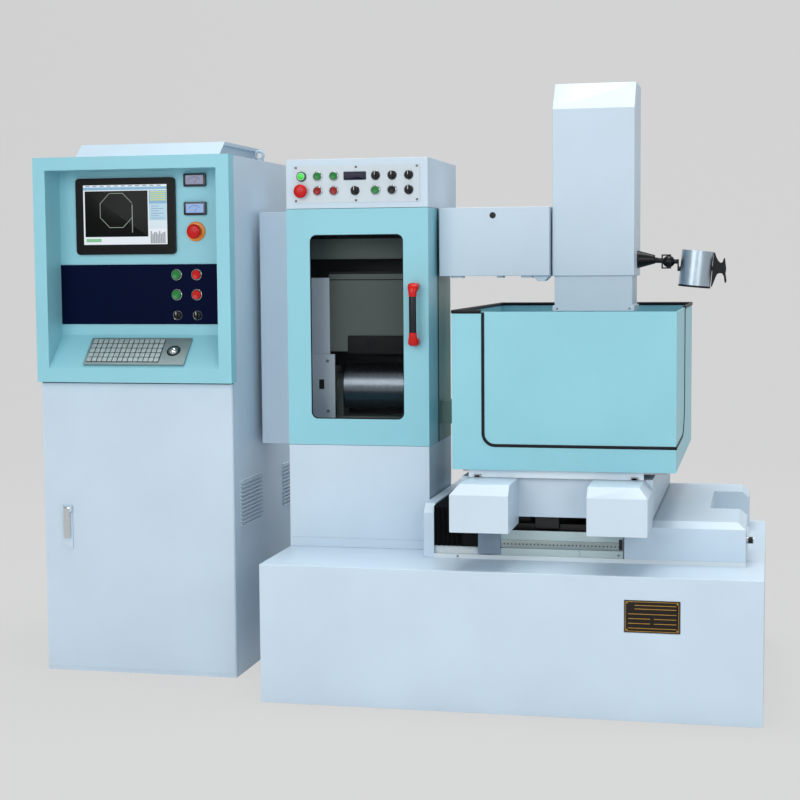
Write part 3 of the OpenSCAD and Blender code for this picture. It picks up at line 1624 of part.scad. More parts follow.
module run_on_button() {
    color("green") push_button(switch_x(0), switch_z(1), switch_front, button2_r);
}

module run_off_button() {
    color("red") push_button(switch_x(1), switch_z(1), switch_front, button2_r);
}

module left_selector() {
    color("black") rotary_knob(switch_x(0), switch_z(0), switch_front, button2_r);
}

module right_selector() {
    color("black") rotary_knob(switch_x(1), switch_z(0), switch_front, button2_r);
}

bed();
x_base();
way_covers();
x_bellows();
x_screw();
x_carriage();
work_table();
tank();
splash_cover();
lower_arm();
upper_arm();
z_column();
z_ram();
upper_pulley();
lower_pulley();
drum_pedestal();
drum_housing();
side_cover();
drum_bench();
drum_carriage();
wire_drum();
drum_door();
door_window();
door_handle();
control_box();
control_panel();
lamp_base();
lamp_arm();
lamp_shade();
cabinet_body();
cabinet_door();
door_latch();
console_frame();
cabinet_roof();
monitor();
panel_meters();
switch_panel();
keyboard();
keyboard_keys();
trackball();
power_rack();
stop_button();
drum_on_button();
pump_on_button();
drum_off_button();
pump_off_button();
mode_selector();
pulse_on_button();
reset_button();
current_knob();
width_knob();
interval_knob();
speed_knob();
cabinet_stop_button();
main_on_button();
main_off_button();
run_on_button();
run_off_button();
left_selector();
right_selector();
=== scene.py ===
import math

import bpy
import numpy as np
from mathutils import Matrix, Vector


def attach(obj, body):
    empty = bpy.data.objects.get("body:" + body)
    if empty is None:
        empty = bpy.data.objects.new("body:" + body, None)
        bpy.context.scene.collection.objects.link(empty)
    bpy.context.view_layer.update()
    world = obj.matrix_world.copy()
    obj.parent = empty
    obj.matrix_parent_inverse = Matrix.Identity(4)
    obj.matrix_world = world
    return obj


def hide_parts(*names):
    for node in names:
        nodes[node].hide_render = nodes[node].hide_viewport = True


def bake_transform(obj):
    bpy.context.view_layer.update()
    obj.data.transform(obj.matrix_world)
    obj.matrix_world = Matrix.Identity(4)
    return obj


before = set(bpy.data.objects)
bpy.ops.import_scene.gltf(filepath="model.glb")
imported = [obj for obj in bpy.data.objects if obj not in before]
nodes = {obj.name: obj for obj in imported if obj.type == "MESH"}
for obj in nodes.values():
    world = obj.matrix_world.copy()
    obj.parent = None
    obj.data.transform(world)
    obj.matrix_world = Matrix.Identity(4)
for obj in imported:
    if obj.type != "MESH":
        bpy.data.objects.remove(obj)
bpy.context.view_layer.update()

# Bed: an iron casting, filled, sanded and sprayed with pale blue-grey enamel.
# It carries the whole machine; a small etched plate sits in a shallow seat.


def spot(x, y, z):
    """Part-frame metres of a place given in mm from the bed's front left corner."""
    return np.stack(np.broadcast_arrays(
        (np.asarray(x, float) - 320.0) / 1000,
        (np.asarray(y, float) - 540.0) / 1000,
        np.asarray(z, float) / 1000), axis=-1)


def placed(rings):
    """Part-frame metres of points given in bed-frame mm."""
    rings = np.asarray(rings, float)
    return spot(rings[..., 0], rings[..., 1], rings[..., 2])


def tone(code):
    """Linear RGBA of an sRGB hex code."""
    c = np.array([int(code[i:i + 2], 16) / 255 for i in (0, 2, 4)])
    c = np.where(c <= 0.04045, c / 12.92, ((c + 0.055) / 1.055) ** 2.4)
    return (*[float(v) for v in c], 1.0)


def add(tree, kind, inputs=(), **settings):
    """Adds a node, sets its settings, and gives each input a value or a link."""
    made = tree.nodes.new(kind)
    for key, value in settings.items():
        setattr(made, key, value)
    for key, value in dict(inputs).items():
        if isinstance(value, bpy.types.NodeSocket):
            tree.links.new(value, made.inputs[key])
        else:
            made.inputs[key].default_value = value
    return made


def new_finish(name):
    """Empty material with its node tree and its shader, already linked."""
    made = bpy.data.materials.new(name)
    made.use_nodes = True
    tree = made.node_tree
    tree.nodes.clear()
    shader = add(tree, "ShaderNodeBsdfPrincipled")
    out = add(tree, "ShaderNodeOutputMaterial", {"Surface": shader.outputs[0]})
    place = add(tree, "ShaderNodeTexCoord").outputs["Object"]
    return made, tree, shader, place


def spread(tree, value, low, high, start=0.3, end=0.7):
    """Output that runs from low to high while the value runs from start to end."""
    made = add(tree, "ShaderNodeMapRange", {
        "Value": value, "From Min": start, "From Max": end, "To Min": low, "To Max": high})
    return made.outputs[0]


def wire_up(tree, shader, **sockets):
    """Links outputs to the shader's inputs; an underscore stands for a space."""
    for key, value in sockets.items():
        tree.links.new(value, shader.inputs[key.replace("_", " ")])


def inside(tree, place, axis, low=None, high=None):
    """1 where a coordinate in metres lies above low and below high, 0 elsewhere."""
    value = add(tree, "ShaderNodeSeparateXYZ", {0: place}).outputs["xyz".index(axis)]
    share = None
    for limit, test in ((low, "GREATER_THAN"), (high, "LESS_THAN")):
        if limit is None:
            continue
        step = add(tree, "ShaderNodeMath", {0: value, 1: limit}, operation=test).outputs[0]
        share = step if share is None else add(
            tree, "ShaderNodeMath", {0: share, 1: step}, operation="MULTIPLY").outputs[0]
    return share


def enamel(name, code, roughness=0.42, peel_mm=2.2, peel_depth=0.00012, other=None, where=(),
           shine=0.5):
    """Sprayed machine enamel: the eye sees a satin film with faint orange peel,
    slow drifts in tone of a few percent, and slightly duller patches. A second
    colour can fill the zone that the (axis, low, high) bounds enclose."""
    made, tree, shader, place = new_finish(name)
    base = tone(code)
    if other:
        zone = None
        for axis, low, high in where:
            step = inside(tree, place, axis, low, high)
            zone = step if zone is None else add(
                tree, "ShaderNodeMath", {0: zone, 1: step}, operation="MULTIPLY").outputs[0]
        base = add(tree, "ShaderNodeMix", {0: zone, 6: tone(code), 7: tone(other)},
                   data_type="RGBA")
    slow = add(tree, "ShaderNodeTexNoise", {"Vector": place, "Scale": 3.5, "Detail": 3.0})
    drift = spread(tree, slow.outputs["Fac"], 0.965, 1.03)
    colour = add(tree, "ShaderNodeHueSaturation", {"Value": drift})
    if other:
        tree.links.new(base.outputs[2], colour.inputs["Color"])
    else:
        colour.inputs["Color"].default_value = base
    patch = spread(tree, slow.outputs["Fac"], roughness - 0.05, roughness + 0.06)
    peel = add(tree, "ShaderNodeTexNoise", {
        "Vector": place, "Scale": 1000 / peel_mm, "Detail": 1.0})
    bump = add(tree, "ShaderNodeBump", {
        "Height": peel.outputs["Fac"], "Strength": 0.35, "Distance": peel_depth})
    wire_up(tree, shader, Base_Color=colour.outputs[0], Roughness=patch,
            Normal=bump.outputs[0])
    shader.inputs["IOR"].default_value = 1.5
    shader.inputs["Specular IOR Level"].default_value = shine
    return made


def dress(name, finish, edge_mm=0.0):
    """Gives a CAD node its finish and, where asked, softly broken edges."""
    piece = nodes[name]
    for slot in piece.material_slots:
        slot.material = finish
    if edge_mm:
        weld = piece.modifiers.new("joined", "WELD")
        weld.merge_threshold = 0.00001
        soft = piece.modifiers.new("edges", "BEVEL")
        soft.width = edge_mm / 1000
        soft.segments = 2
        soft.limit_method = "ANGLE"
        soft.angle_limit = math.radians(40)
        soft.use_clamp_overlap = True
        soft.harden_normals = True


def loft(name, rings, finish, body, closed_path=False, sharp=35):
    """Skin over rings of points: quads between each ring and the next, with
    flat ends unless the path closes. Faces are turned to point outwards."""
    rings = np.asarray(rings, float)
    rows, cols, _ = rings.shape
    i = np.arange(rows if closed_path else rows - 1)[:, None]
    j = np.arange(cols)[None, :]
    a = i * cols + j
    b = i * cols + (j + 1) % cols
    c = ((i + 1) % rows) * cols + (j + 1) % cols
    d = ((i + 1) % rows) * cols + j
    quads = np.stack(np.broadcast_arrays(a, b, c, d), axis=-1).reshape(-1, 4)
    points = rings.reshape(-1, 3)
    centre = 0.0 if closed_path else rings.mean(axis=(0, 1))
    p, q, r, s = ((points - centre)[quads[:, k]] for k in range(4))
    volume = np.einsum("ij,ij->i", p, np.cross(q, r) + np.cross(r, s)).sum()
    faces = quads.tolist()
    if not closed_path:
        first, last = list(range(cols)), list(range((rows - 1) * cols, rows * cols))
        faces += [first[::-1], last]
    if volume < 0:
        faces = [f[::-1] for f in faces]
    mesh = bpy.data.meshes.new(name)
    mesh.from_pydata(points.tolist(), [], faces)
    mesh.validate()
    mesh.shade_smooth()
    mesh.set_sharp_from_angle(angle=math.radians(sharp))
    mesh.materials.append(finish)
    made = bpy.data.objects.new(name, mesh)
    bpy.context.scene.collection.objects.link(made)
    if body:
        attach(made, body)
    return made


def slab(x0, x1, y0, y1, z0, z1, corner=1.0, edge=0.5, face="y"):
    """Rings of a plate with round corners in its plane and rolled edges: a
    rounded rectangle, drawn in by the edge radius at both faces."""
    lows, highs = np.array([x0, y0, z0], float), np.array([x1, y1, z1], float)
    across = {"y": (0, 2, 1), "z": (0, 1, 2)}[face]
    u0, v0, w0 = lows[list(across)]
    u1, v1, w1 = highs[list(across)]
    corner = min(corner, (u1 - u0) / 2 - 0.01, (v1 - v0) / 2 - 0.01)
    edge = min(edge, (w1 - w0) / 2 - 0.001, corner - 0.001)
    turn = np.linspace(0, math.pi / 2, 7)
    bend = np.linspace(0, math.pi / 2, 4)
    inset = np.concatenate([edge * (1 - np.sin(bend)), edge * (1 - np.cos(bend))])
    depth = np.concatenate([w0 + edge * (1 - np.cos(bend)), w1 - edge * (1 - np.sin(bend))])
    rings = []
    for shrink, w in zip(inset, depth):
        parts = []
        for k, (cu, cv) in enumerate([(u1, v1), (u0, v1), (u0, v0), (u1, v0)]):
            a = turn + k * math.pi / 2
            mu = cu - corner * (1 if cu == u1 else -1)
            mv = cv - corner * (1 if cv == v1 else -1)
            reach = corner - shrink
            parts.append(np.stack([mu + reach * np.cos(a), mv + reach * np.sin(a)], axis=-1))
        outline = np.concatenate(parts)
        ring = np.empty((len(outline), 3))
        ring[:, across[0]] = outline[:, 0]
        ring[:, across[1]] = outline[:, 1]
        ring[:, across[2]] = w
        rings.append(ring)
    return placed(rings)


def turned(profile, centre, axis=(0, -1, 0), sides=40):
    """Rings of a turned piece: each (distance along the axis, radius) of the
    profile becomes a circle round the axis. Distances in mm, ends closed small."""
    profile = np.array(profile, float)
    along = np.array(axis, float) / np.linalg.norm(axis)
    side = np.cross(along, [0.0, 0.0, 1.0] if abs(along[2]) < 0.9 else [1.0, 0.0, 0.0])
    side /= np.linalg.norm(side)
    up = np.cross(along, side)
    a = np.linspace(0, 2 * math.pi, sides, endpoint=False)
    circle = np.cos(a)[:, None] * side + np.sin(a)[:, None] * up
    reach = np.maximum(profile[:, 1], 0.01)[:, None, None]
    return placed(np.array(centre, float) + profile[:, 0][:, None, None] * along
                  + reach * circle)


body_paint = enamel("pale_blue_enamel", "C3D5E3")
dress("bed", body_paint, 3.0)

# Slide base: ground casting on the bed with an off-white lip, and the fixed
# covers over both of its ends, folded from sheet and sprayed like the bed.
# Off-white, lighter than the bed's enamel: painted light, so the table skirt's front face is
# coloured like the lit tops around it.
skirt_light_paint = enamel("skirt_painted_light_enamel", "DCE6EE")
# The slide base's top face is painted near-black: painted shade in the gap under the carriage.
dress("x_base", enamel("slide_base_enamel_painted_shade_top", "D3DDE2", other="0C0E10", where=[
    ("z", 0.4848, None)]))
dress("way_covers", body_paint, 1.5)


def ground(name, code, grain_mm=0.5, along=(1, 0, 0), roughness=0.32, streak=0.16):
    """Ground steel: the eye sees fine parallel scratches that stretch the
    highlights, and slightly darker bands where the wheel dwelt."""
    made, tree, shader, place = new_finish(name)
    stretch = [1.0 if a else 40.0 for a in along]
    turned_place = add(tree, "ShaderNodeMapping", {"Vector": place, "Scale": stretch})
    grain = add(tree, "ShaderNodeTexNoise", {
        "Vector": turned_place.outputs[0], "Scale": 1000 / grain_mm / 40, "Detail": 4.0})
    shade = spread(tree, grain.outputs["Fac"], 1 - streak, 1 + streak / 2)
    colour = add(tree, "ShaderNodeHueSaturation", {"Value": shade, "Color": tone(code)})
    rough = spread(tree, grain.outputs["Fac"], roughness - 0.06, roughness + 0.1)
    bump = add(tree, "ShaderNodeBump", {
        "Height": grain.outputs["Fac"], "Strength": 0.25, "Distance": 0.00008})
    wire_up(tree, shader, Base_Color=colour.outputs[0], Roughness=rough,
            Normal=bump.outputs[0])
    shader.inputs["Metallic"].default_value = 1.0
    return made


bright_steel = ground("ground_steel", "B9BDC0")
strip_paint = enamel("grey_green_strip_paint", "B4C6C6", 0.45)
scale_steel = ground("scale_steel", "9AA6A6", 0.4)
# Near-black for dark marks, seams and screw heads, and painted shade inside holes and slots, whose
# openings are drawn as dark films.
dark_mark_and_hole_shade = enamel("dark_marks_and_painted_hole_shade", "15191C", 0.7)
# The scale's strips and plate between the covers; all lengths are in mm.
SCALE_X0, SCALE_X1, SCALE_Y = 640, 1017, 207.4
for name, z0, z1 in [("scale_strip_low", 412.5, 432.5), ("scale_strip_top", 457.5, 484.5)]:
    loft(name, slab(SCALE_X0, SCALE_X1, SCALE_Y - 0.2, 208.4, z0, z1, 0.8, 0.3), strip_paint,
         "frame")
loft("scale_plate", slab(SCALE_X0, SCALE_X1, SCALE_Y - 0.05, 208.3, 434.5, 456.5, 0.8, 0.3),
     scale_steel, "frame")
HOLE_START, HOLE_PITCH, HOLE_R = 653.0, 11, 2.2
for k in range(33):
    loft(f"scale_hole_{k}", turned([(0, 0), (0, HOLE_R), (0.25, HOLE_R - 0.2), (0.25, 0)],
                                   (HOLE_START + HOLE_PITCH * k, SCALE_Y, 445.0), sides=16),
         dark_mark_and_hole_shade, "frame")
for k, x in enumerate([646, 1010]):
    loft(f"scale_end_{k}", slab(x - 5, x + 5, SCALE_Y - 2, SCALE_Y - 0.2, 436, 466, 1.0, 0.4),
         dark_mark_and_hole_shade, "frame")
loft("strip_seam", slab(893.2, 894.0, 206.9, 207.3, 412.8, 432.2, 0.3, 0.1), dark_mark_and_hole_shade, "frame")
steel_screw = ground("plated_screw_steel", "8E9498", 0.6)


def screw(name, at, radii, outs, body, finish=steel_screw, sides=24):
    """Socket screw head: rim and crown radii, then the socket's mouth and floor
    radii; outs gives how far the rim, the crown and the floor stand out."""
    rim_r, crown_r, mouth_r, floor_r = radii
    rim_out, crown_out, floor_out = outs
    loft(name, turned([(0, rim_r), (rim_out, rim_r), (crown_out, crown_r), (crown_out, mouth_r),
                       (floor_out, floor_r), (floor_out, 0)], at, sides=sides),
         finish, body)


for k, at in enumerate([(655, 207.0, 421), (1004, 207.0, 421), (540, 199.9, 406)]):
    screw(f"base_screw_{k}", at, (3.6, 2.6, 1.8, 1.6), (1.2, 1.8, 0.7), "frame")

# Bellows: coated cloth folded over stiff card, one pleat every 14 mm, fixed
# to the end plate at the left and to the carriage at the right.


def cloth(name, code):
    """Coated bellows cloth: matt, with a fine woven tooth under the coat."""
    made, tree, shader, place = new_finish(name)
    weave = add(tree, "ShaderNodeTexNoise", {"Vector": place, "Scale": 900.0, "Detail": 2.0})
    wear = add(tree, "ShaderNodeTexNoise", {"Vector": place, "Scale": 22.0, "Detail": 3.0})
    shade = spread(tree, wear.outputs["Fac"], 0.8, 1.5, 0.35)
    colour = add(tree, "ShaderNodeHueSaturation", {"Value": shade, "Color": tone(code)})
    bump = add(tree, "ShaderNodeBump", {
        "Height": weave.outputs["Fac"], "Strength": 0.5, "Distance": 0.0004})
    wire_up(tree, shader, Base_Color=colour.outputs[0], Normal=bump.outputs[0])
    shader.inputs["Roughness"].default_value = 0.7
    shader.inputs["Specular IOR Level"].default_value = 0.15
    return made


def pleats(x0, x1, y0, y1, z0, z1, pitch, depth):
    """Rings of an upside-down U of cloth, carried along X: the U shrinks by
    depth in every second ring, so the skin folds in and out."""
    count = int(round((x1 - x0) / pitch)) * 4 + 1
    along = np.linspace(x0, x1, count)
    phase = np.abs(((np.arange(count) / 4.0) % 1.0) * 2 - 1)
    draw = depth * (1 - phase)
    rings = []
    for x, d in zip(along, draw):
        inner = depth + 2.5
        outline = [(y0 + d, z0), (y0 + d, z1 - d), (y1 - d, z1 - d), (y1 - d, z0),
                   (y1 - inner, z0), (y1 - inner, z1 - inner), (y0 + inner, z1 - inner),
                   (y0 + inner, z0)]
        rings.append([(x, y, z) for y, z in outline])
    return placed(rings)


bellows_cloth = cloth("bellows_cloth", "08090B")
BELLOWS_Z0, BELLOWS_X1 = 434.5, 552.5
high = loft("bellows_high", pleats(470.5, BELLOWS_X1, 201, 1044, BELLOWS_Z0, 551.5, 13.7, 8.0),
            bellows_cloth, None, sharp=20)
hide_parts("x_bellows")
tuple(spot(471, 600, 480))
tuple(spot(BELLOWS_X1, 600, 480))
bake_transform(high)
# The low pleats in front of the carriage are black cloth set in the gap under it: a bellows, and
# also painted shade that darkens that gap.
loft("bellows_low", pleats(BELLOWS_X1 + 1, 599, 202.6, 206.4, BELLOWS_Z0, 505.5, 11.4, 1.5),
     bellows_cloth, "x_slide", sharp=20)

# Lead screw: bright round bar along the slide base, with a moulded black hand
# knob on the end that stands out of the right cover.


def moulded(name, code, roughness=0.4, grain_mm=0.8, shine=0.5):
    """Moulded plastic: an even colour, a fine spark-eroded grain in the gloss."""
    made, tree, shader, place = new_finish(name)
    grain = add(tree, "ShaderNodeTexNoise", {
        "Vector": place, "Scale": 1000 / grain_mm, "Detail": 2.0})
    rough = spread(tree, grain.outputs["Fac"], roughness - 0.06, roughness + 0.06)
    bump = add(tree, "ShaderNodeBump", {
        "Height": grain.outputs["Fac"], "Strength": 0.2, "Distance": 0.0001})
    wire_up(tree, shader, Roughness=rough, Normal=bump.outputs[0])
    shader.inputs["Base Color"].default_value = tone(code)
    shader.inputs["Specular IOR Level"].default_value = shine
    return made


black_plastic = moulded("black_phenolic", "0E0F12", 0.38, 0.8, 0.3)
dress("x_screw", bright_steel)
loft("x_knob", turned([(0, 7), (0.8, 9.3), (13, 9.6), (15.6, 8.2), (15.9, 6), (15.2, 5),
                       (15.2, 0)], (1362, 300, 460), (1, 0, 0)),
     black_plastic, "lead_screw")

# Carriage: sprayed casting with two forward arms and ground rails on top; a
# grey-blue apron hangs from its front and wipes past the scale.
# The carriage's lowest faces, behind its front, are painted near-black: painted shade under the
# carriage.
dress("x_carriage", enamel("carriage_enamel_painted_shade_underside", "C6D7E4", other="08090B", where=[
    ("z", None, 0.5262), ("y", -0.3375, None)]), 2.0)
apron_paint = enamel("slate_apron_enamel", "8093A3", 0.45)
loft("carriage_apron", slab(599.6, 665.4, 201.6, 207.5, 414.6, 505.9, 1.2, 0.5), apron_paint,
     "x_slide")
for k, x in enumerate([593, 1040]):
    loft(f"y_rail_{k}", slab(x - 0.2, x + 20.2, 170, 1015.2, 640.2, 649.1, 1.5, 0.6, "z"),
         bright_steel, "x_slide")

# Table and tank: ground table frame in a tank folded and welded from sheet,
# sprayed teal; black rubber edging is pushed over the rims and the cover.
teal_paint = enamel("light_teal_enamel", "8BC8D6", 0.40)
dress("work_table", bright_steel, 1.0)
# The table's front skirt is notched over the two rails.
SKIRT_X0, SKIRT_X1, SKIRT_Z0, SKIRT_Z1, NOTCH_Z, NOTCH_R = 577.3, 1075.7, 641, 664.6, 649.8, 10.8
outline = [(SKIRT_X0, SKIRT_Z0)]
for x in (603, 1050):
    outline += [(x - NOTCH_R, SKIRT_Z0), (x - NOTCH_R, NOTCH_Z), (x + NOTCH_R, NOTCH_Z),
                (x + NOTCH_R, SKIRT_Z0)]
outline += [(SKIRT_X1, SKIRT_Z0), (SKIRT_X1, SKIRT_Z1), (SKIRT_X0, SKIRT_Z1)]


def cut_plate(points, y0, y1):
    """Rings of a flat plate cut to an outline of (x, z) points."""
    return placed([[(x, y, z) for x, z in points] for y in (y0, y1)])


# The skirt's off-white is painted light, lighter than the enamel it would wear.
loft("table_skirt", cut_plate(outline, 179.3, 180.2), skirt_light_paint, "y_table")
dress("tank", teal_paint)
dress("splash_cover", teal_paint)
edging = moulded("black_rubber_edging", "060912", 0.5, 1.2, 0.25)


def carried(path, section, up=(0, 0, 1), swell=1.0):
    """Rings of a section carried along a path: at each point the section's
    first axis lies across the path and its second along the given up; swell
    is the section's scale at each point."""
    path = np.array(path, float)
    step = np.gradient(path, axis=0)
    step /= np.linalg.norm(step, axis=1, keepdims=True)
    up = np.broadcast_to(np.array(up, float), path.shape)
    across = np.cross(step, up)
    across /= np.linalg.norm(across, axis=1, keepdims=True)
    section = np.array(section, float)
    swell = np.broadcast_to(np.asarray(swell, float), len(path))[:, None, None]
    return placed(path[:, None, :] + swell * (section[None, :, 0, None] * across[:, None, :]
                                              + section[None, :, 1, None] * up[:, None, :]))


def corner_path(points, radii, steps=8):
    """Path through points in which each inner corner is rounded by its radius:
    straight runs, joined by arcs that touch both runs."""
    points = [np.array(p, float) for p in points]
    out = [points[0]]
    for k in range(1, len(points) - 1):
        a, b, c = points[k - 1], points[k], points[k + 1]
        u = (a - b) / np.linalg.norm(a - b)
        v = (c - b) / np.linalg.norm(c - b)
        t = np.linspace(0, math.pi / 2, steps)
        r = radii[k - 1]
        out += [b + r * (u * (1 - math.sin(s)) + v * (1 - math.cos(s))) for s in t]
    out.append(points[-1])
    return np.array(out)


def round_section(w, h, n=12):
    """Flattened circle, w by h, as a closed section."""
    a = np.linspace(0, 2 * math.pi, n, endpoint=False)
    return np.stack([np.sign(np.cos(a)) * np.abs(np.cos(a)) ** 0.6 * w / 2,
                     np.sign(np.sin(a)) * np.abs(np.sin(a)) ** 0.6 * h / 2], axis=-1)


# Tank box; the cover's seam runs up at SEAM_X, along SEAM_Z and up at SIDE_Y.
TANK_X0, TANK_X1, TANK_Y0, TANK_Y1, TANK_Z1, SEAM_Z, SEAM_X, SIDE_Y = (
    533.0, 1166.0, 157.0, 1060.0, 1115.0, 735.0, 622.0, 597.0)
# Rubber edging: its middle stands off the sheet's face, or halfway through it.
EDGE_OUT, HALF_SHEET = 0.6, 1.5
EDGE_X, EDGE_Y = TANK_X1 + EDGE_OUT, TANK_Y0 - EDGE_OUT
front = corner_path([(SEAM_X + 1, EDGE_Y, TANK_Z1 - 2), (SEAM_X + 1, EDGE_Y, SEAM_Z),
                     (EDGE_X, EDGE_Y, SEAM_Z)], [34])
loft("cover_edging_front", carried(front, round_section(9, 3.2), (0, 1, 0)), edging, "cover",
     sharp=80)
side = corner_path([(EDGE_X, TANK_Y0, SEAM_Z), (EDGE_X, SIDE_Y - 1, SEAM_Z),
                    (EDGE_X, SIDE_Y - 1, TANK_Z1 - 2)], [110], 12)
loft("cover_edging_side", carried(side, round_section(9, 3.2), (1, 0, 0)), edging, "cover",
     sharp=80)
RIM_X0, RIM_X1 = TANK_X0 + HALF_SHEET, TANK_X1 - HALF_SHEET
RIM_Y0, RIM_Y1 = TANK_Y0 + HALF_SHEET, TANK_Y1 - HALF_SHEET
rim = corner_path([(SEAM_X - 4, RIM_Y0, TANK_Z1), (RIM_X0, RIM_Y0, TANK_Z1),
                   (RIM_X0, RIM_Y1, TANK_Z1), (RIM_X1, RIM_Y1, TANK_Z1),
                   (RIM_X1, SIDE_Y + 4, TANK_Z1)], [3, 3, 3], 4)
loft("tank_rim_edging", carried(rim, round_section(7.5, 11), (0, 0, 1)), edging, "y_table",
     sharp=80)

# Arms, column and ram: hollow castings, sprayed like the bed, except the lower arm:
# it is painted grey-green, as painted shade beside the drum housing's side. Ceramic
# wheels with a V groove guide the wire at the ram and at the lower arm.
grey_green_shade_paint = enamel("grey_green_painted_shade_enamel", "7D978E", 0.42)
dress("lower_arm", grey_green_shade_paint, 1.0)
dress("upper_arm", body_paint, 2.0)
dress("z_column", body_paint, 2.0)
dress("z_ram", body_paint, 1.2)
ceramic = moulded("glazed_ceramic", "EDEAE2", 0.16, 1.5)
dress("upper_pulley", ceramic)
dress("lower_pulley", ceramic)
loft("arm_hole", turned([(0, 0), (0, 9.5), (0.6, 9.5), (0.6, 0)], (608, 426.1, 1394)),
     dark_mark_and_hole_shade, "frame")
for k, x in enumerate([797, 1011]):
    screw(f"ram_screw_{k}", (x, 458.0, 1116), (3.4, 2.4, 1.6, 1.4), (1.2, 1.6, 0.6), "ram")

# Wire drum unit: sheet pedestal and housing; a dark cast bench and carriage;
# a turned drum with the fine grey cutting wire wound on it side by side.
cast_paint = enamel("dark_casting_enamel", "55625E", 0.5, 4.0, 0.0004)
post_paint = enamel("pale_post_enamel", "C6D4E2", 0.42)
# The housing's grey-green is painted shade on its side panel; its inner faces, inside these bounds,
# are near-black.
housing_shade_paint = enamel("housing_painted_shade_enamel", "7D978E", 0.42, other="090C0F", where=[
    ("x", -0.317, 0.110), ("y", None, 0.122), ("z", 0.713, 1.415)], shine=0.3)
dress("drum_pedestal", body_paint, 1.5)
dress("drum_housing", housing_shade_paint)
dress("side_cover", body_paint, 1.0)
dress("drum_bench", cast_paint, 0.8)
dress("drum_carriage", cast_paint, 0.8)
wire_metal = ground("wound_wire", "7F8992", 0.5, (0, 1, 1), 0.3, 0.04)
dress("wire_drum", wire_metal)
POST_X, FACE_Y = 24.5, 462.2
loft("post_low", slab(POST_X, 108.5, 460.4, FACE_Y, 747, 976, 2, 0.6), post_paint, "frame")
loft("post_high", slab(POST_X, 93.5, 460.6, FACE_Y, 976.5, 1211, 2, 0.6), post_paint, "frame")
loft("post_slot", slab(58, 74, 459.9, 460.9, 868, 898, 1, 0.3), dark_mark_and_hole_shade, "frame")
for k, z in enumerate([955, 800]):
    screw(f"post_screw_{k}", (86, 460.5, z), (5, 3.6, 2.4, 2.2), (1.4, 2.0, 0.8), "frame")
well_black = enamel("unlit_black_enamel", "0B0E11", 0.5, shine=0.2)
loft("guide_well", slab(150, 416, 460.3, FACE_Y, 978, 1034, 6, 0.5), well_black, "frame")
loft("guide_boss", turned([(0, 21), (2.4, 21), (3.0, 19.6), (2.4, 17), (2.4, 11), (3.0, 10),
                           (1.4, 8), (1.4, 0)], (229, 461.0, 1006.5)), edging, "frame")
for k, (z0, z1) in enumerate([(1222, 1229), (1203, 1206)]):
    loft(f"plate_band_{k}", slab(93, 419, 460.8, FACE_Y, z0, z1, 1, 0.4), well_black, "frame")
loft("housing_beam", slab(8, 425, 471, 473, 1268, 1330, 2, 0.6), cast_paint, "frame")

# Housing door: folded sheet, sprayed teal, with smoked glass in a rubber
# profile and a bow handle of black and red moulded plastic.


def smoked(name, code, clear):
    """Smoked safety glass: clear sheet with a grey cast and a polished face."""
    made, tree, shader, place = new_finish(name)
    smear = add(tree, "ShaderNodeTexNoise", {"Vector": place, "Scale": 6.0, "Detail": 3.0})
    wire_up(tree, shader, Roughness=spread(tree, smear.outputs["Fac"], 0.02, 0.09, 0.35))
    shader.inputs["Base Color"].default_value = tone(code)
    shader.inputs["Alpha"].default_value = 1 - clear
    shader.inputs["Specular IOR Level"].default_value = 0.3
    shader.inputs["IOR"].default_value = 1.5
    return made


dress("drum_door", teal_paint)
dress("door_window", smoked("smoked_glass", "0A0E12", 0.9))


def loop(x0, x1, y, z0, z1, start, corner, steps):
    """Closed upright rectangle with round corners, from a place on its foot."""
    path = corner_path([(start, y, z0), (x1, y, z0), (x1, y, z1), (x0, y, z1), (x0, y, z0),
                        (start, y, z0)], [corner] * 4, steps)
    return path[:-1]


seal = loop(72.9, 357.2, 324, 790.6, 1338.8, 215, 20, 8)
loft("window_seal", carried(seal, round_section(3.5, 3.0), (0, 1, 0)), edging,
     "housing_door", closed_path=True, sharp=80)
door_seal = loop(-0.6, 433.6, 463.8, 710.2, 1417.8, 216, 3, 4)
loft("door_seal", carried(door_seal, round_section(3.2, 3.6), (0, 1, 0)), edging, "frame",
     closed_path=True, sharp=80)
handle_black = moulded("handle_black_nylon", "0A0D18", 0.3, 1.2, 0.35)
handle_red = moulded("handle_red_nylon", "C6120E", 0.25, 1.2, 0.3)
GRIP_X, GRIP_Z0, GRIP_Z1 = 394, 1020, 1186
grip = corner_path([(GRIP_X, 322, GRIP_Z0), (GRIP_X, 279, GRIP_Z0), (GRIP_X, 279, GRIP_Z1),
                    (GRIP_X, 322, GRIP_Z1)], [24, 24], 9)
bar = loft("handle_bar", carried(grip, round_section(15, 21.5), (1, 0, 0)), handle_black,
           "housing_door", sharp=80)
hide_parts("door_handle")
for k, (z, way) in enumerate([(GRIP_Z0, 1), (GRIP_Z1, -1)]):
    cap = corner_path([(GRIP_X, 321.6, z), (GRIP_X, 280, z), (GRIP_X, 280, z + way * 30)], [20], 12)
    share = np.linspace(0, 1, len(cap))
    swell = 0.86 + 0.2 * np.sin(math.pi * np.minimum(share / 0.8, 1.0)) - 0.12 * share ** 3
    loft(f"handle_cap_{k}", carried(cap, round_section(23, 31), (1, 0, 0), swell), handle_red,
         "housing_door", sharp=80)

# Control box: sheet box with a satin alloy panel. Push buttons sit in chromed
# bezels; knobs and the selector are black phenolic with a white pointer.
satin_alloy = enamel("satin_silver_panel", "C4D0D8", 0.38, 0.8, 0.00004)
dress("control_box", body_paint, 1.5)
dress("control_panel", satin_alloy)


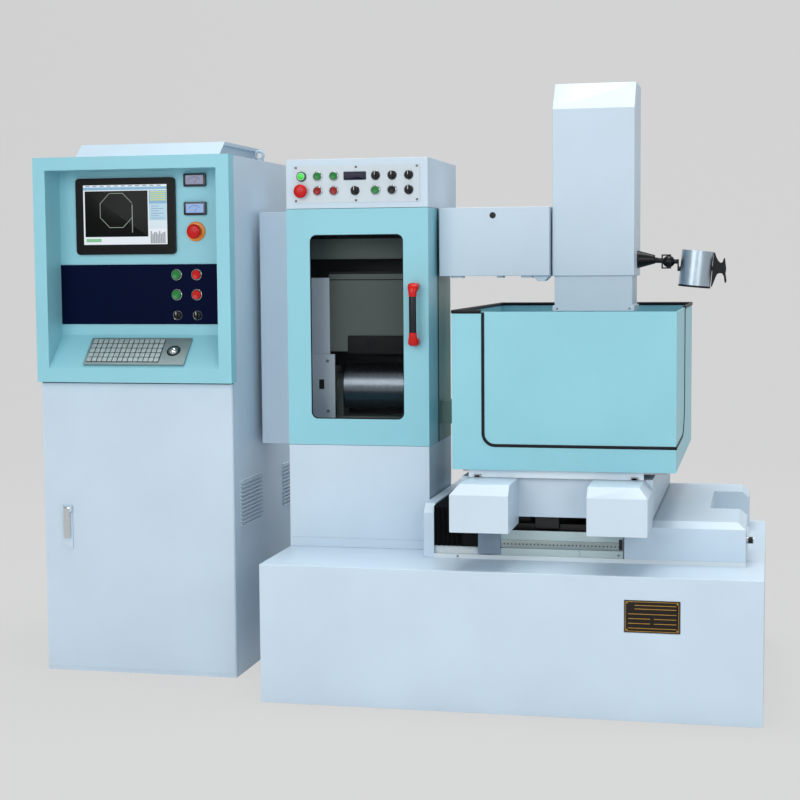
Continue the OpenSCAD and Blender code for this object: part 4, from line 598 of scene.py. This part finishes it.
def plated(name, code, roughness=0.12):
    """Chrome plate: mirror-like with a faint haze that varies over the part."""
    made, tree, shader, place = new_finish(name)
    haze = add(tree, "ShaderNodeTexNoise", {"Vector": place, "Scale": 60.0, "Detail": 2.0})
    rough = spread(tree, haze.outputs["Fac"], roughness - 0.05, roughness + 0.08)
    wire_up(tree, shader, Roughness=rough)
    shader.inputs["Base Color"].default_value = tone(code)
    shader.inputs["Metallic"].default_value = 1.0
    return made


chrome = plated("chrome_plate", "D5D8DA")
red_plastic = moulded("red_button_plastic", "BE100C", 0.25, shine=0.25)
green_plastic = moulded("green_button_plastic", "1D7A38", 0.25, shine=0.3)
dark_red = moulded("dark_red_button_plastic", "8C1716", 0.28, shine=0.3)
lit_green = moulded("lit_green_lens", "35E03A", 0.2)
white_mark = moulded("white_pointer_paint", "E8EAEC", 0.5)
display_blue = moulded("display_window", "060A28", 0.15, 0.8, 0.15)
deep_green = moulded("pilot_ring_plastic", "17602F", 0.3)

# Columns and rows of the control panel, as shares of the box's front.
BOX_W, BOX_H, BOX_Z = 433, 146, 1418
COLS = [BOX_W * (0.055 + 0.89 * s) for s in (0.067, 0.197, 0.326, 0.492, 0.655, 0.785, 0.915)]
ROWS = [BOX_Z + BOX_H * (0.115 + 0.755 * s) for s in (0.315, 0.71)]
# Shanks end behind the panel; caps stay clear of it over a stroke of 4 mm.
SHANK = (-14, 7.4)
STROKE_CLEAR = 4.6


def push_cap(name, node, x, z, face, r, finish):
    """Flat push button: a disc with a rolled edge and a slightly hollow face."""
    rings = turned([SHANK, (STROKE_CLEAR, SHANK[1]), (STROKE_CLEAR, r - 0.4), (5.8, r), (8.6, r),
                    (9.6, r - 0.9), (9.8, r - 2.2), (9.3, r - 3.2), (9.1, 0)], (x, face, z))
    made = loft(name, rings, finish, node, sharp=50)
    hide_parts(node)


def chromed_ring(name, profile, at):
    """Chromed ring fixed round a button or a knob."""
    loft(name, turned(profile, at), chrome, "frame", closed_path=True, sharp=50)


def bezel(name, x, z, face, r):
    """Bezel round a button: turned outside, countersunk inside."""
    chromed_ring(name, [(0.1, r + 4.2), (1.5, r + 4.4), (5.2, r + 2.6), (5.6, r + 1.4),
                        (4.8, r + 0.4), (0.1, r + 0.35)], (x, face, z))


def grip_knob(node, x, z, face, r):
    """Phenolic knob: round skirt, narrow grip across it, a white pointer and a
    thin chromed washer round it that is clear of its skirt."""
    skirt = turned([SHANK, (0.4, SHANK[1]), (0.4, r), (2.5, r), (4.5, r - 0.8), (7, r - 2),
                    (7.6, r - 3.4), (7.6, 0)], (x, face, z))
    made = loft(node + "_body", skirt, black_plastic, node, sharp=50)
    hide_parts(node)
    loft(node + "_body_grip", slab(x - 3, x + 3, face - 15.8, face - 7, z - r + 0.6, z + r - 0.6,
                                   2.6, 1.4), black_plastic, node)
    loft(node + "_body_mark", slab(x - 0.7, x + 0.7, face - 16.0, face - 15.6, z + 1, z + r - 1.4,
                                   0.4, 0.15), white_mark, node)
    chromed_ring(node + "_ring", [(0.05, r + 1.9), (0.8, r + 1.8), (1.2, r + 1.2),
                                  (0.9, r + 0.4), (0.05, r + 0.3)], (x, face, z))


def mushroom(name, node, x, z, face, r):
    """Red mushroom head: domed cap with a rolled rim over a short neck."""
    a = np.linspace(0, math.pi / 2, 9)
    dome = [(17 + 6.6 * math.sin(t), r * math.cos(t) ** 0.6) for t in a[:-1]]
    rings = turned([SHANK, (STROKE_CLEAR, SHANK[1]), (STROKE_CLEAR, 10.8), (10, 10.8),
                    (10.6, r - 2), (13, r - 0.3)] + dome + [(23.6, 0)], (x, face, z))
    made = loft(name, rings, red_plastic, node, sharp=50)
    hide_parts(node)


PANEL_Y = 319.0
for node, col, row, finish, slot in [
        ("drum_on_button", 1, 1, green_plastic, "green_plastic"),
        ("pump_on_button", 2, 1, green_plastic, "green_plastic"),
        ("drum_off_button", 1, 0, dark_red, "red_plastic"),
        ("pump_off_button", 2, 0, dark_red, "red_plastic"),
        ("pulse_on_button", 4, 0, green_plastic, "green_plastic"),
        ("reset_button", 5, 0, black_plastic, "black_plastic")]:
    push_cap(node + "_cap", node, COLS[col], ROWS[row], PANEL_Y, 10.9, finish)
    bezel(node + "_bezel", COLS[col], ROWS[row], PANEL_Y, 11.0)
mushroom("stop_head", "stop_button", COLS[0], ROWS[0], PANEL_Y, 20.4)
for node, col, row in [("mode_selector", 3, 0), ("current_knob", 4, 1), ("width_knob", 5, 1),
                       ("interval_knob", 6, 1), ("speed_knob", 6, 0)]:
    grip_knob(node, COLS[col], ROWS[row], PANEL_Y, 12.9)
for name, finish, profile in [
        ("pilot_ring", deep_green, [(0, 15), (5, 14.6), (6.2, 13), (6.4, 11.4), (4, 11.2), (4, 0)]),
        ("pilot_lens", lit_green, [(0, 11), (8, 11), (10.6, 9), (11.6, 5), (11.9, 0)])]:
    loft(name, turned(profile, (COLS[0], PANEL_Y, ROWS[1])), finish, "frame",
         sharp=50)
for k, x in enumerate([31.8, 216.5, 401.2]):
    for j, z in enumerate([1440.8, 1539.0]):
        screw(f"panel_screw_{k}_{j}", (x, PANEL_Y, z), (3.2, 2.2, 1.4, 1.2), (1.6, 2.2, 1.0),
              "frame", dark_mark_and_hole_shade, 16)
loft("display_glass", slab(COLS[3] - 34.2, COLS[3] + 34.2, 316.6, 318.8, ROWS[1] - 12.2,
                           ROWS[1] + 12.2, 1.5, 0.4), display_blue, "frame")

# Work lamp: cone base on the column's side, ball joint and yoke in black enamel;
# the shade is spun steel with a black rim.
lamp_black = enamel("black_lamp_enamel", "06080D", 0.35, shine=0.3)
spun_steel = ground("spun_shade_steel", "BBCCD8", 0.9, (0, 0, 1), 0.34, 0.12)
dress("lamp_base", lamp_black, 0.5)
dress("lamp_arm", lamp_black, 0.5)
dress("lamp_shade", spun_steel)
LAMP_Y, SHADE_X, SHADE_Z, TILT = 452 + 230 * 0.56, 1199.0, 1231.0, math.radians(5.5)
down_shade = (-math.sin(TILT), 0, -math.cos(TILT))
rim = turned([(49.5, 47.1), (50.5, 48.2), (54.6, 48.2), (55.6, 47), (55.6, 43.2), (49.5, 43.2)],
             (SHADE_X, LAMP_Y, SHADE_Z), down_shade, 64)
loft("shade_rim", rim, lamp_black, "lamp_shade", closed_path=True, sharp=50)
loft("lamp_rod", carried([(1070, LAMP_Y, 1260), (1088, LAMP_Y, 1257), (1106, LAMP_Y, 1254)],
                         round_section(15, 15, 24), (0, 1, 0)), lamp_black, "frame",
     sharp=80)
JOINT_R = 18
ball = [(JOINT_R * math.sin(a), JOINT_R * math.cos(a)) for a in np.linspace(-1.4, 1.4, 15)]
loft("lamp_ball", turned([(-JOINT_R, 0)] + ball + [(JOINT_R, 0)], (1118, LAMP_Y, 1253), (1, 0, 0)),
     lamp_black, "lamp_arm", sharp=80)
# Outline of the wing knob on the shade's far side, as (x, z).
WING = [(1251.6, 1279), (1254.6, 1279), (1258.5, 1266), (1264, 1255), (1271, 1248), (1277, 1250),
        (1281, 1262), (1284, 1262), (1286, 1246), (1288, 1231), (1286, 1216), (1289, 1194),
        (1286, 1187), (1283, 1190), (1281, 1207), (1276, 1216), (1268, 1217), (1261, 1214),
        (1256, 1203), (1251, 1190), (1246, 1177), (1243, 1177), (1244.5, 1196), (1247.3, 1231)]
loft("lamp_wing", cut_plate(WING, LAMP_Y - 5, LAMP_Y + 5), lamp_black, "lamp_arm")

# Control cabinet: folded and welded sheet, sprayed like the bed; the door is
# a folded pan with a plated lift latch.
dress("cabinet_body", body_paint)
dress("cabinet_door", body_paint)
dress("door_latch", chrome, 0.6)
dress("power_rack", enamel("grey_rack_enamel", "7D8287", 0.5), 1.0)

# Console: teal sheet frame with a deep recess. Monitor, meters, emergency stop
# and switch panel stand at its back; the keyboard lies on the slope. The roof
# cowl over it is painted darker than the cabinet's enamel: painted shade that
# tones down its lit upward slope.
dress("console_frame", teal_paint, 1.5)
dress("cabinet_roof", enamel("roof_painted_shade_enamel", "ACC1CF"), 1.2)
navy_paint = enamel("navy_panel_enamel", "040D2C", 0.4, shine=0.03)
dress("switch_panel", navy_paint)
# Recess: left, right, foot, head and back.
RX0, RX1, RZ0, RZ1, BACK_Y = -731.0, -187.0, 942.0, 1541.0, 330.0
RW = RX1 - RX0
SWITCH_Y, SWITCH_Z, SWITCH_H = 327.0, RZ0 + (RZ1 - RZ0) * 0.219, 183
SX = [RX0 + RW * s for s in (0.698, 0.816)]
SZ = [SWITCH_Z + SWITCH_H * s for s in (0.148, 0.492, 0.825)]
for node, col, row, finish, slot in [
        ("main_on_button", 0, 2, green_plastic, "green_plastic"),
        ("main_off_button", 1, 2, red_plastic, "red_plastic"),
        ("run_on_button", 0, 1, green_plastic, "green_plastic"),
        ("run_off_button", 1, 1, red_plastic, "red_plastic")]:
    push_cap(node + "_cap", node, SX[col], SZ[row], SWITCH_Y, 13.8, finish)
    bezel(node + "_bezel", SX[col], SZ[row], SWITCH_Y, 14.0)
for node, x in zip(("left_selector", "right_selector"), SX):
    grip_knob(node, x, SZ[0], SWITCH_Y, 13)

screen_bezel = moulded("monitor_bezel_plastic", "040506", 0.3, 0.8, 0.15)
MONITOR_W, MONITOR_H = 322, 233
MX0 = RX0 + RW * 0.106
MZ0 = SWITCH_Z + SWITCH_H + 31
dress("monitor", screen_bezel, 1.0)


def lit(name, code, strength):
    """Lit liquid-crystal picture: an even glow behind a smooth polished film,
    with the pixel rows drawn coarse enough to show as a faint ripple."""
    made, tree, shader, place = new_finish(name)
    rows = add(tree, "ShaderNodeTexWave", {"Vector": place, "Scale": 160.0},
               bands_direction="Z")
    glow = spread(tree, rows.outputs["Fac"], strength * 0.93, strength, 0.0, 1.0)
    wire_up(tree, shader, Emission_Strength=glow)
    shader.inputs["Emission Color"].default_value = tone(code)
    shader.inputs["Base Color"].default_value = tone("050606")
    shader.inputs["Roughness"].default_value = 0.25
    shader.inputs["Specular IOR Level"].default_value = 0.1
    return made


SCX0, SCZ0 = MX0 + MONITOR_W * 0.077, MZ0 + MONITOR_H * 0.13
SCW, SCH = MONITOR_W * 0.845, MONITOR_H * 0.78
# The monitor's glass, and how far the picture's layers stand off it.
GLASS_Y, GROUND, PANE, MARK = 320, 0.1, 0.4, 0.7


def on_screen(name, u0, u1, v0, v1, finish, lift):
    """Thin film on the screen between shares of its width and height, the
    height counted down from the top; lift stands it off the glass in mm."""
    loft(name, slab(SCX0 + SCW * u0, SCX0 + SCW * u1, GLASS_Y - lift - 0.2, GLASS_Y - lift,
                    SCZ0 + SCH * (1 - v1), SCZ0 + SCH * (1 - v0), 0.3, 0.05),
         finish, "frame")


glow_white = lit("lit_white", "E6EEF5", 1.0)
glow_blue = lit("lit_pale_blue", "9CCBEA", 0.8)
glow_field = lit("lit_black_field", "060B08", 0.6)
glow_line = lit("lit_grey_green_line", "A9BBA9", 0.8)
glow_green = lit("lit_green", "8FD6A0", 0.8)
glow_yellow = lit("lit_yellow", "D6E596", 0.9)
glow_sky = lit("lit_sky_blue", "BFE0F2", 0.9)
glow_haze = lit("lit_haze_blue", "DCEBF4", 0.95)
glow_rule = lit("lit_blue_rule", "7FA3BF", 0.7)
glow_grey = lit("lit_chart_grey", "A9B2B8", 0.8)
on_screen("screen_ground", 0.0, 1.0, 0.0, 1.0, glow_white, GROUND)
on_screen("screen_bar_top", 0.0, 1.0, 0.035, 0.085, glow_blue, PANE)
on_screen("screen_field", 0.018, 0.772, 0.10, 0.87, glow_field, PANE)
for k, (v0, v1, glow) in enumerate([(0.10, 0.32, glow_blue), (0.32, 0.60, glow_sky),
                                    (0.60, 0.74, glow_haze)]):
    on_screen(f"screen_side_{k}", 0.785, 0.995, v0, v1, glow, PANE)
for k in range(5):
    v = 0.115 + 0.034 * k
    on_screen(f"screen_row_{k}", 0.80, 0.985, v, v + 0.018, glow_yellow, MARK)
for k in range(6):
    v = 0.36 + 0.04 * k
    on_screen(f"screen_line_{k}", 0.81, 0.90 + 0.06 * (k % 2), v, v + 0.007, glow_rule, MARK)
for k in range(9):
    u = 0.80 + 0.02 * k
    v = 0.78 + 0.05 * math.sin(1.9 * k) ** 2
    on_screen(f"screen_chart_{k}", u, u + 0.016, v, 0.985, glow_grey, MARK)
for k in range(11):
    u = 0.03 + 0.085 * k
    on_screen(f"screen_menu_{k}", u, u + 0.05, 0.01, 0.024, glow_rule, MARK)
on_screen("screen_status", 0.03, 0.21, 0.90, 0.955, glow_green, PANE)
angle = np.radians(22.5 + 45 * np.arange(8))
octagon = np.stack([0.394 + 0.207 * np.cos(angle), 0.427 + 0.207 * SCW / SCH * np.sin(angle)],
                   axis=-1)
for k in range(1, 8):
    (ua, va), (ub, vb) = octagon[k - 1], octagon[k]
    a = np.array([SCX0 + SCW * ua, GLASS_Y - 0.8, SCZ0 + SCH * (1 - va)])
    b = np.array([SCX0 + SCW * ub, GLASS_Y - 0.8, SCZ0 + SCH * (1 - vb)])
    loft(f"screen_trace_{k}", carried([a, (a + b) / 2, b], round_section(1.6, 0.3), (0, 1, 0)),
         glow_line, "frame")
xr = octagon[0][0]
on_screen("screen_tail", xr - 0.004, xr + 0.004, 0.33, 0.80, glow_line, MARK)

meter_black = moulded("meter_case_plastic", "0F1524", 0.3)
METER_X = RX0 + RW * 0.814
for k, (share, code) in enumerate([(0.588, "A9CBFF"), (0.957, "A3A9C4")]):
    x, z = METER_X, MZ0 + MONITOR_H * share
    case = loft(f"meter_case_{k}", slab(x - 35.4, x + 35.4, 320.2, 329.9, z - 19.9, z + 19.9,
                                        3, 1.5), meter_black, "frame")
    if k == 0:
        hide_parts("panel_meters")
    # The meter faces are given a glow: painted light that brightens the dials.
    loft(f"meter_face_{k}", slab(x - 28, x + 28, 319.7, 320.4, z - 13, z + 14, 1.5, 0.2),
         lit(f"meter_dial_painted_glow_{k}", code, 0.75), "frame")
    sweep = np.radians(np.linspace(35, 145, 12))
    arc = np.stack([x + 22 * np.cos(sweep), np.full(12, 319.5), z - 11 + 20 * np.sin(sweep)],
                   axis=-1)
    loft(f"meter_arc_{k}", carried(arc, round_section(0.9, 0.3), (0, 1, 0)), screen_bezel,
         "frame")
    tip = np.array([[x, 319.4, z - 11], [x + 4, 319.4, z - 3], [x + 8, 319.4, z + 5]])
    loft(f"meter_needle_{k}", carried(tip, round_section(0.8, 0.3), (0, 1, 0)), screen_bezel,
         "frame")
orange = moulded("orange_ring_plastic", "F08A24", 0.3)
STOP_Z = MZ0 + MONITOR_H * 0.29
loft("stop_ring", turned([(0, 29.8), (3, 29.8), (5.4, 28), (6, 25), (6, 0)],
                         (METER_X, BACK_Y, STOP_Z)), orange, "frame", sharp=50)
mushroom("cabinet_stop_head", "cabinet_stop_button", METER_X, STOP_Z, BACK_Y - 6, 22)

# The shelf's slope, and the level of the keyboard's case above it in metres.
SLOPE = math.atan2(98, 107)
KEY_LEVEL = 0.0092
AWAY = (0.0, -math.sin(SLOPE), math.cos(SLOPE))


def on_slope(x, v, w):
    """Bed-frame mm of a place on the shelf: x across, v up the slope, w off it."""
    return (x, 223 + v * math.cos(SLOPE) - w * math.sin(SLOPE),
            RZ0 + v * math.sin(SLOPE) + w * math.cos(SLOPE))


def key_metal(name, code, gap_shade_code):
    """Pressed stainless keys: bright satin caps, with painted shade in the gaps: the
    key sides that lie below the level of the case, measured square to the slope,
    are dark."""
    made, tree, shader, place = new_finish(name)
    height = add(tree, "ShaderNodeVectorMath", {0: place, 1: AWAY}, operation="DOT_PRODUCT")
    level = float(np.dot(AWAY, spot(*on_slope(0, 0, 0)))) + KEY_LEVEL
    proud = add(tree, "ShaderNodeMath", {0: height.outputs["Value"], 1: level},
                operation="GREATER_THAN").outputs[0]
    wear = add(tree, "ShaderNodeTexNoise", {"Vector": place, "Scale": 70.0, "Detail": 2.0})
    tint = spread(tree, wear.outputs["Fac"], 0.88, 1.08)
    cap = add(tree, "ShaderNodeHueSaturation", {"Value": tint, "Color": tone(code)})
    both = add(tree, "ShaderNodeMix", {0: proud, 6: tone(gap_shade_code), 7: cap.outputs[0]},
               data_type="RGBA")
    wire_up(tree, shader, Base_Color=both.outputs[2])
    shader.inputs["Metallic"].default_value = 0.55
    shader.inputs["Roughness"].default_value = 0.36
    return made


key_steel = ground("keyboard_steel", "A3B3B3", 0.5, (1, 0, 0), 0.4, 0.08)
dress("keyboard", key_steel, 0.8)
# The keys' sides in the gaps are painted dark: painted shade between the keys.
dress("keyboard_keys", key_metal("key_cap_steel_painted_gap_shade", "BCCBCB", "3C4A4B"), 0.9)
dress("trackball", plated("polished_trackball_steel", "C4CBCC", 0.1))
KEYBOARD_W = 323
BALL = on_slope(RX0 + RW * 0.2 + KEYBOARD_W * 0.86, 68, 9)
ring = turned([(0.1, 17.2), (1.6, 17.4), (2.2, 18.4), (1.8, 20.6), (0.1, 21.4)], BALL, AWAY, 48)
loft("trackball_ring", ring, black_plastic, "frame", closed_path=True, sharp=50)
loft("keyhole_plate", turned([(0, 5.6), (0.9, 5.4), (1.2, 4.6), (0.7, 4), (0.7, 0)],
                             (RX0 + RW * 0.592, SWITCH_Y, SWITCH_Z + SWITCH_H * 0.11), sides=24),
     dark_mark_and_hole_shade, "frame")
loft("console_seam", slab(-769, -156, 255, 268, 895.4, 899.7, 1, 0.5), well_black, "frame")

# Name plate: black anodised alloy in the bed's seat, bare, with a gilt border
# and gilt rules for its fields, held by four small rivets.
plate_black = enamel("black_anodised_plate", "140E08", 0.35, 0.6, 0.00003, shine=0.3)
gilt = ground("gilt_line", "D2A24C", 0.4, (1, 0, 0), 0.35, 0.1)
loft("name_plate", slab(1038.0, 1188.2, 0.4, 1.9, 247.0, 335.2, 1.5, 0.3), plate_black, "frame")
border = loop(1041.6, 1184.6, 0.35, 250.5, 331.7, 1113, 2, 4)
loft("plate_border", carried(border, round_section(1.3, 0.4), (0, 1, 0)), gilt, "frame",
     closed_path=True, sharp=80)
for k, (x0, x1, z) in enumerate([(1066, 1178, 322), (1066, 1178, 312), (1048, 1178, 298),
                                 (1048, 1108, 285), (1118, 1178, 285), (1048, 1108, 272),
                                 (1118, 1178, 272), (1048, 1178, 259)]):
    loft(f"plate_rule_{k}", slab(x0, x1, 0.1, 0.45, z - 0.8, z + 0.8, 0.4, 0.1), gilt, "frame")
for k, (x, z) in enumerate([(1045, 254), (1181, 254), (1045, 328), (1181, 328)]):
    loft(f"plate_rivet_{k}", turned([(0, 2.2), (0.25, 2.0), (0.4, 1.2), (0.42, 0)],
                                    (x, 0.5, z), sides=12), gilt, "frame")

# Studio: a plain pale sweep that shows evenly to the camera, three soft lamps
# and the camera fitted to the photograph.


def sweep_mesh(name):
    """Floor that rolls up into a wall: a straight run, a quarter circle and a
    straight wall, carried across the studio."""
    reach, bend_r, half_w = 9.0, 3.0, 14.0
    a = np.linspace(0, math.pi / 2, 16)
    bend = np.stack([reach - bend_r + bend_r * np.sin(a), bend_r - bend_r * np.cos(a)], axis=-1)
    profile = np.concatenate([[(-reach, 0.0)], bend, [(reach, reach)]])
    across = np.array([-half_w, half_w])
    grid = np.stack(np.broadcast_arrays(across[None, :], profile[:, :1], profile[:, 1:]),
                    axis=-1)
    mesh = bpy.data.meshes.new(name)
    n = len(profile)
    faces = [[2 * i, 2 * i + 1, 2 * i + 3, 2 * i + 2] for i in range(n - 1)]
    mesh.from_pydata(grid.reshape(-1, 3).tolist(), [], faces)
    mesh.shade_smooth()
    return mesh


backdrop_finish, tree, shader, place = new_finish("studio_paper")
shader.inputs["Base Color"].default_value = tone("D8D8D8")
shader.inputs["Roughness"].default_value = 0.9
ray = add(tree, "ShaderNodeLightPath").outputs
seen = add(tree, "ShaderNodeMath", {0: ray["Is Camera Ray"], 1: ray["Is Glossy Ray"]},
           operation="MAXIMUM").outputs[0]
seen = add(tree, "ShaderNodeMath", {0: seen, 1: ray["Is Transmission Ray"]},
           operation="MAXIMUM").outputs[0]
share = add(tree, "ShaderNodeMath", {0: seen, 1: 0.88}, operation="MULTIPLY").outputs[0]
paper = add(tree, "ShaderNodeEmission", {"Color": tone("D4D4D4")}).outputs[0]
mixed = add(tree, "ShaderNodeMixShader", {0: share, 1: shader.outputs[0], 2: paper}).outputs[0]
tree.links.new(mixed, tree.nodes["Material Output"].inputs["Surface"])
studio_mesh = sweep_mesh("studio_sweep")
studio_mesh.materials.append(backdrop_finish)
studio = bpy.data.objects.new("studio_sweep", studio_mesh)
bpy.context.scene.collection.objects.link(studio)

world = bpy.data.worlds.new("studio_air")
bpy.context.scene.world = world
world.use_nodes = True
world.node_tree.nodes.clear()
air = add(world.node_tree, "ShaderNodeBackground", {"Color": tone("F4F6F8"), "Strength": 0.46})
add(world.node_tree, "ShaderNodeOutputWorld", {"Surface": air.outputs[0]})


def lamp(name, place, aim, size, power):
    """Square soft lamp at a place, turned towards its aim."""
    made = bpy.data.lights.new(name, "AREA")
    made.size = size
    made.energy = power
    lamp_object = bpy.data.objects.new(name, made)
    lamp_object.location = place
    way = Vector(aim) - Vector(place)
    lamp_object.rotation_euler = way.to_track_quat("-Z", "Y").to_euler()
    bpy.context.scene.collection.objects.link(lamp_object)


lamp("key_lamp", (-1.6, -6.6, 3.2), (0, 0, 0.8), 3.6, 150)
lamp("fill_lamp", (3.6, -6.2, 2.4), (0, 0, 0.8), 2.5, 80)
lamp("top_lamp", (0.3, 0.6, 9.0), (0, 0, 0.5), 6.0, 690)

# Focal length in pixels of the photograph, angles in degrees, place in metres.
F_PX, PHOTO_PX, SENSOR_MM = 1655.31, 800.0, 36.0
YAW, PITCH, ROLL, CAMERA_AT = 12.626, 4.678, 0.434, (1.098, -5.010, 1.250)
camera_data = bpy.data.cameras.new("photo_camera")
camera_data.sensor_width = SENSOR_MM
camera_data.lens = SENSOR_MM * F_PX / PHOTO_PX
camera = bpy.data.objects.new("photo_camera", camera_data)
yaw, pitch, roll = (math.radians(v) for v in (YAW, PITCH, ROLL))
ahead = np.array([-math.sin(yaw) * math.cos(pitch), math.cos(yaw) * math.cos(pitch),
                  -math.sin(pitch)])
right = np.array([math.cos(yaw), math.sin(yaw), 0.0])
up = np.cross(right, ahead)
image_right = math.cos(roll) * right - math.sin(roll) * up
image_up = math.sin(roll) * right + math.cos(roll) * up
turn = np.eye(4)
turn[:3, 0], turn[:3, 1], turn[:3, 2] = image_right, image_up, -ahead
turn[:3, 3] = CAMERA_AT
camera.matrix_world = Matrix(turn.tolist())
bpy.context.scene.collection.objects.link(camera)
bpy.context.scene.camera = camera
bpy.context.scene.view_settings.view_transform = "Standard"
